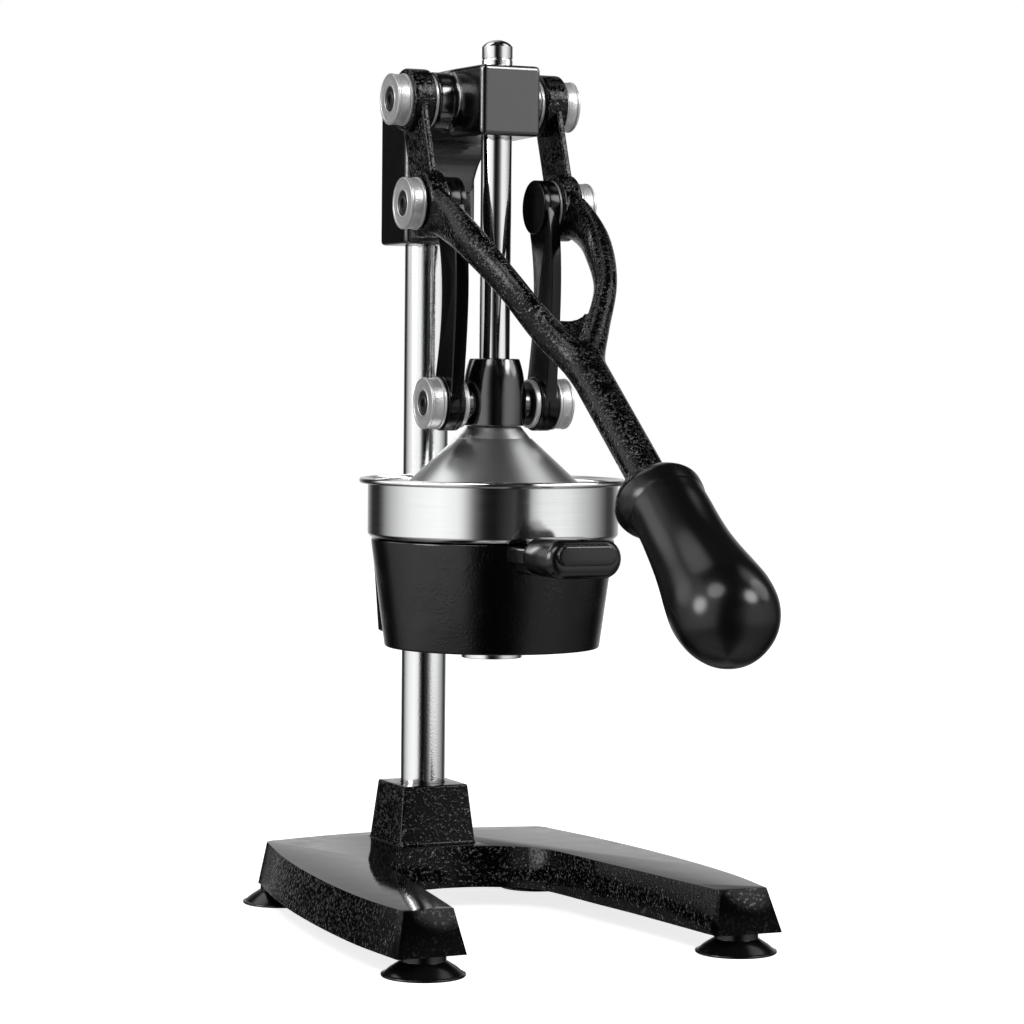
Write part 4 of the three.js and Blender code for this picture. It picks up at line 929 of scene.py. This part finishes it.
def makeHead(look):
    sleeveBottom, top = heightsOf("head_casting")
    bottom = top - look["height"]
    rear, gusset, gussetFrom = look["sleeveBack"] - look["rearSetback"], look["gusset"], look["gussetFrom"]
    outline = [(look["front"], bottom), (look["front"], top), (rear, top), (rear, bottom - gusset),
               *arc(gussetFrom, bottom - gusset, look["sleeveFront"] + look["overlap"] - gussetFrom, gusset,
                    0, 90, 12)]
    body = plateAcross(outline, -look["halfWidth"], look["halfWidth"], 0)
    bmesh.ops.bisect_plane(body, geom=body.verts[:] + body.edges[:] + body.faces[:],
                           plane_co=(0, look["flareTo"], 0), plane_no=(0, 1, 0))
    for vert in body.verts:
        share = (vert.co.y - look["front"]) / (look["flareTo"] - look["front"])
        vert.co.x *= 1 + (look["flare"] / look["halfWidth"] - 1) * min(max(share, 0), 1)
    body = softened(body, look["edge"])
    sleeve = block((-look["sleeveHalf"], look["sleeveFront"], sleeveBottom),
                   (look["sleeveHalf"], look["sleeveBack"], top), look["edge"], 4)
    span, root, collar = look["bossTo"], look["collarTo"], look["collar"]
    bosses = turned([(0, -span), (look["boss"], -span, 0.6), (look["boss"], -root), (collar, -root, 0.3),
                     (collar, root, 0.3), (look["boss"], root), (look["boss"], span, 0.6), (0, span)])
    bm = cast(combined(body, sleeve, outward(bosses, 1, "upper")), look["voxel"], look["passes"])
    cutters = [rod(look["rodBore"], bottom - 20, top + 20),
               rod(look["columnBore"], sleeveBottom - 20, top + 20, 0, columnY)]
    for name, drop in zip(("upper", "lower"), look["screwDrops"]):
        cutters.append(setScrew("head_set_screw_" + name, screwSize, top - drop, look["sleeveBack"] - columnY, 5))
    makePiece("headBody", carved(bm, "DIFFERENCE", *cutters), "stand", "smooth_paint", smoothPaint, "head_casting",
              sharp=45)


makeHead(headSize)
print("head ready")

# Base casting and feet

baseSize = {
    "edge": 1.5, "outerDraft": 4.6, "innerDraft": 3.4, "wall": 5.5, "ceilingDrop": 6, "height": 22,
    "outer": ((0, 128.2), (18.1, 127.5), (36.5, 125.5), (55.1, 122.1), (74, 117.4), (79.1, 116.6), (82.3, 114),
              (84.3, 109.9), (85, 104), (92.4, 66.4), (97.8, 28.8), (101.2, -8.8), (103, -46.3),
              (102.6, -83.9, 5.2), (98.6, -121.5, 6.4)),
    "inner": ((0, 61), (20, 57.8), (37, 49.0), (48, 36), (52.3, 20), (57, -15), (62.4, -51), (67.2, -86, 4.2),
              (72.6, -121.5, 5.6)),
    "pedestalFoot": 22.2, "pedestalTop": 19, "pedestalHeight": 32, "pedestalCorner": 1.5, "pedestalEdge": 1.1,
    "bore": 12.45, "footBoss": 12, "columnBoss": 19, "rib": 4, "ribs": ((-93.2, 65.5, 101.5), (-56.4, 60.0, 101.5)),
    "rearRib": (10, 92), "ribSetback": 2.5, "bolt": 5.3, "boltHead": 9.3, "boltHeadDepth": 6.3,
}
footPlaces = ("front_left", "front_right", "rear_left", "rear_right")
footSize = {"lip": 20.7, "neck": 11.2, "cone": 12.1, "coneHeight": 6.8, "dome": 17}


def draftedRing(outline, inset, share, z):
    # Moves each (x, y, draft) of a closed outline out by its draft's share, less an inset
    ring = []
    for k, spot in enumerate(outline):
        before = (spot - outline[k - 1]).to_2d().normalized()
        after = (outline[(k + 1) % len(outline)] - spot).to_2d().normalized()
        way = Vector((before.y + after.y, -before.x - after.x)).normalized()
        reach = (spot[2] * share - inset) / max(way.dot(Vector((before.y, -before.x))), 0.5)
        ring.append(Vector((spot.x + way.x * reach, spot.y + way.y * reach, z)))
    return ring


def makeBase(look):
    bottom = heightsOf("base_casting")[0]
    top = bottom + look["height"]
    outline = []
    for part, draft in (("inner", "innerDraft"), ("outer", "outerDraft")):
        half = look[part]
        drafted = [(*spot[:2], spot[2] if len(spot) > 2 else look[draft]) for spot in half]
        spots = smoothLine([(-x, y, d) for x, y, d in drafted[:0:-1]] + drafted, 6)
        outline += spots if part == "inner" else spots[::-1]
    plate = softened(grown([draftedRing(outline, 0, 1, bottom), draftedRing(outline, 0, 0, top)]), look["edge"], 3, 0.5)
    foot, head, corner, edge = (look[k] for k in ("pedestalFoot", "pedestalTop", "pedestalCorner", "pedestalEdge"))
    rise = look["pedestalHeight"]
    pedestal = grown([
        squareRing(foot + grow, foot + grow, corner + grow, columnY, top + height)
        for height, grow in ((-3, 1.2), (0.05, 1.2), (0.35, 0.6), (0.9, 0.2), (1.6, 0))
    ] + [
        squareRing(head + 0.1 - inset, head + 0.1 - inset, max(corner - inset, 0.3), columnY, top + rise - drop)
        for drop, inset in ((edge, 0), (edge * 0.5, edge * 0.14), (edge * 0.14, edge * 0.5), (0, edge))
    ])
    ceiling = top - look["ceilingDrop"]
    hollow = grown([draftedRing(outline, look["wall"], share, z) for share, z in ((1, bottom - 5), (0.3, ceiling))])
    kept = [rod(look["columnBoss"], bottom, ceiling + 5, 0, columnY)]
    for place in footPlaces:
        middle = middleOf("suction_foot_" + place)
        kept.append(rod(look["footBoss"], bottom, ceiling + 5, middle.x, middle.y, 48))
    for side in (-1, 1):
        for y, near, far in (*look["ribs"], (columnY, *look["rearRib"])):
            left, right = sorted((side * near, side * far))
            kept.append(block((left, y - look["rib"] / 2, bottom + look["ribSetback"]),
                              (right, y + look["rib"] / 2, ceiling + 5), 0))
    hollow = carved(hollow, "DIFFERENCE", *kept)
    bm = carved(plate, "UNION", pedestal)
    bores = (("bore", columnLow.z - 0.3, top + rise + 5, 96), ("bolt", bottom - 5, columnLow.z + 1, 48),
             ("boltHead", bottom - 5, bottom + look["boltHeadDepth"], 48))
    bm = carved(bm, "DIFFERENCE", hollow,
                *(rod(look[name], low, high, 0, columnY, steps) for name, low, high, steps in bores))
    makePiece("baseBody", bm, "stand", "cast_paint", basePaint, "base_casting")


def makeFeet(look):
    lip, neck, cone, height = (look[k] for k in ("lip", "neck", "cone", "coneHeight"))
    for place in footPlaces:
        node = "suction_foot_" + place
        middle, high = middleOf(node), heightsOf(node)[1]
        bm = turned([
            (0, 3.2), (look["dome"] * 0.6, 2.6, 4), (look["dome"], 0, 0.2), (lip - 0.4, 0, 0.2), (lip, 0.45, 0.25),
            (lip - 0.1, 1.15, 0.3), (lip - 1.3, 1.5, 0.5), ((lip + cone) / 2, 4.05), (cone, height, 0.5),
            (neck, height + 0.5, 0.3), (neck, high), (0, high),
        ])
        makePiece("footMoulding_" + place, moved(bm, raised(middle.x, middle.y)), "stand", "rubber", footRubber, node)


makeBase(baseSize)
makeFeet(footSize)
print("base and feet ready")

# Bowl, strainer, holder and bowl grip

bowlSize = {"rim": 70, "bead": 1.5, "wallRadius": 65.4, "wall": 1.2, "shoulderDrop": 31.4, "spout": 15.9,
            "floor": 52.5, "neck": 59.7, "floorRise": 9}
strainerSize = {"cone": 35, "tip": 7, "wall": 1.5}
holderSize = {"topRadius": 63.6, "footRadius": 56.3, "wall": 3.2, "floor": 3, "spoutHole": 16.8, "bore": 12.45,
              "bracketFoot": (20.6, 18.6), "bracketTop": (23.4, 22), "bracketCorner": 3, "lugHalf": 18.9,
              "lugFront": -82.3, "lugDrop": 0.5, "lugHeight": 8.5, "ribHalf": 14, "ribFront": -78, "ribHeight": 5.4,
              "webFront": 53, "lugBack": -55, "ribBack": -53}
bowlGripSize = {
    "halfWidth": 20.6, "halfHeight": 9.7, "length": 30.6, "padHalf": (15.9, 5), "padRise": 2, "hole": (2.6, 25.6),
    "stages": ((0, 1.2), (0.25, 0.4), (0.8, 0), (1.5, 0), (1.75, 0.45), (2.2, 0.45), (2.5, 0.12), (8, 0), (26.9, 0),
               (27.1, 0.12), (27.3, 0.45), (28.2, 0.8), (29.2, 1.5), (29.9, 2.3), (30.4, 3.2), (30.6, 4.0)),
    "padStages": ((0, -0.1), (0.25, 0), (1.4, 0), (1.85, 0.2), (2.1, 0.6), (2.2, 1.1)),
}


def makeBowl(look):
    (bottom, top), wallRadius, wall = heightsOf("bowl"), look["wallRadius"], look["wall"]
    shoulder, floor, spout = top - look["shoulderDrop"], bottom + look["floorRise"], look["spout"]
    outside = [(spout - wall, bottom), (spout, bottom, 0.4), (spout, floor, 2), (look["floor"] - 4, floor + 2, 4),
               (look["floor"], floor + 4.2, 3), (look["neck"], shoulder - 1, 1), (60.2, shoulder + 0.2, 0.6),
               (63.4, shoulder + 0.3, 1.4), (wallRadius, shoulder + 2.4, 1.6), (wallRadius, top - 2.6, 0.8)]
    bead = arc(look["rim"] - look["bead"], top - look["bead"], look["bead"], look["bead"], -120, 140, 16)
    inside = [(wallRadius - wall, top - 1.8, 1.2), (wallRadius - wall, shoulder + 3, 1.4),
              (62.6, shoulder + 1.5, 1.2), (58.6, shoulder + 1.5, 0.8), (51.2, floor + 5.4, 3),
              (48, floor + 3.2, 4), (spout - wall, floor + 1.2, 1.5)]
    makePiece("bowlSpinning", turned(outside + bead + inside, 192, closed=True), "stand", "stainless", spunSteel,
              "bowl")


def makeStrainer(look):
    low, high = boxOf("strainer_cone")
    brim, top, outer = low.z, high.z, (high.x - low.x) / 2
    cone, tip, wall = look["cone"], look["tip"], look["wall"]
    bm = turned([(0, top - wall), (3, top - 1.9, 1), (tip - 1, top - 5, 2), (cone - wall, brim), (outer, brim, 0.3),
                 (outer, brim + wall, 0.3), (cone, brim + wall, 1), (tip + 0.4, top - 2.9, 2), (3.4, top - 0.3, 1),
                 (0, top)], 120)
    makePiece("strainerPressing", bm, "stand", "stainless", spunSteel, "strainer_cone")


def makeHolder(look):
    bottom, top = heightsOf("holder_casting")
    topRadius, footRadius, wall, hole = (look[k] for k in ("topRadius", "footRadius", "wall", "spoutHole"))
    floor = bottom + look["floor"]
    cup = turned([
        (hole, bottom), (footRadius - 0.2, bottom, 1.3), (topRadius - 0.3, top - 3, 0.5), (topRadius, top, 0.9),
        (topRadius - wall, top, 0.8), (footRadius - wall, floor, 1), (hole, floor),
    ], 192, closed=True)
    rings = [(bottom, 0.9, "bracketFoot"), (bottom + 0.9, 0, "bracketFoot"), (top - 0.9, 0, "bracketTop"),
             (top, 0.9, "bracketTop")]
    bracket = grown([squareRing(look[k][0] - inset, look[k][1] - inset, look["bracketCorner"], columnY, z)
                     for z, inset, k in rings])
    foot = look["bracketFoot"]
    web = block((-foot[0], look["webFront"], bottom + 0.6), (foot[0], columnY, top - 0.6), 0)
    lugTop = top - look["lugDrop"]
    lugBottom = lugTop - look["lugHeight"]
    lug = block((-look["lugHalf"], look["lugFront"], lugBottom), (look["lugHalf"], look["lugBack"], lugTop), 1.4)
    rib = block((-look["ribHalf"], look["ribFront"], lugBottom - look["ribHeight"]),
                (look["ribHalf"], look["ribBack"], lugTop - 3), 1.8)
    cavity = turned([(0, floor), (footRadius - wall, floor), (topRadius - wall, top), (topRadius - wall, top + 5),
                     (0, top + 5)], 192)
    bm = carved(cup, "UNION", carved(bracket, "UNION", web), carved(lug, "UNION", rib))
    bm = carved(bm, "DIFFERENCE", cavity, rod(hole, bottom - 5, bottom + 10),
                rod(look["bore"], bottom - 5, top + 5, 0, columnY),
                setScrew("holder_set_screw", screwSize, (bottom + top) / 2, foot[1], 8))
    makePiece("holderBody", bm, "stand", "cast_paint", holderPaint, "holder_casting")


def stadiumRing(halfWidth, halfHeight, depth, lift=0.0, steps=28):
    # Two half circles with straight sides between them
    ring = []
    for signX in (1, -1):
        ring += arc(signX * (halfWidth - halfHeight), lift, halfHeight, halfHeight, -90 * signX, 180 - 90 * signX,
                    steps)
    return [Vector((*spot, depth)) for spot in ring]


def makeBowlGrip(look):
    # Grown forward from the rear face, then in to the raised pad on the front
    low, high = boxOf("bowl_grip")
    width, height, length = (look[k] for k in ("halfWidth", "halfHeight", "length"))
    rings = [stadiumRing(width - inset, height - inset, depth) for depth, inset in look["stages"]]
    padWide, padTall = look["padHalf"]
    rings += [stadiumRing(padWide - inset, padTall - inset, length + proud, look["padRise"])
              for proud, inset in look["padStages"]]
    bm = grown(rings)
    radius, place = look["hole"]
    dimple = moved(rod(radius, height - 1.4, height + 10.6, steps=48), raised(0, 0, place) @ toRear)
    bm = moved(carved(bm, "DIFFERENCE", dimple), raised(0, high.y, (low.z + high.z) / 2) @ toFront)
    makePiece("bowlGripMoulding", bm, "stand", "plastic", plasticBlack, "bowl_grip", sharp=40)


makeBowl(bowlSize)
makeStrainer(strainerSize)
makeHolder(holderSize)
makeBowlGrip(bowlGripSize)
print("bowl and holder ready")

# Inner pieces keep their solids and get a finish

for name, material in (("column_bolt", columnChrome), ("bell_screw", rodChrome), ("bowl_tang", spunSteel)):
    nodes[name].data.materials.clear()
    nodes[name].data.materials.append(material)
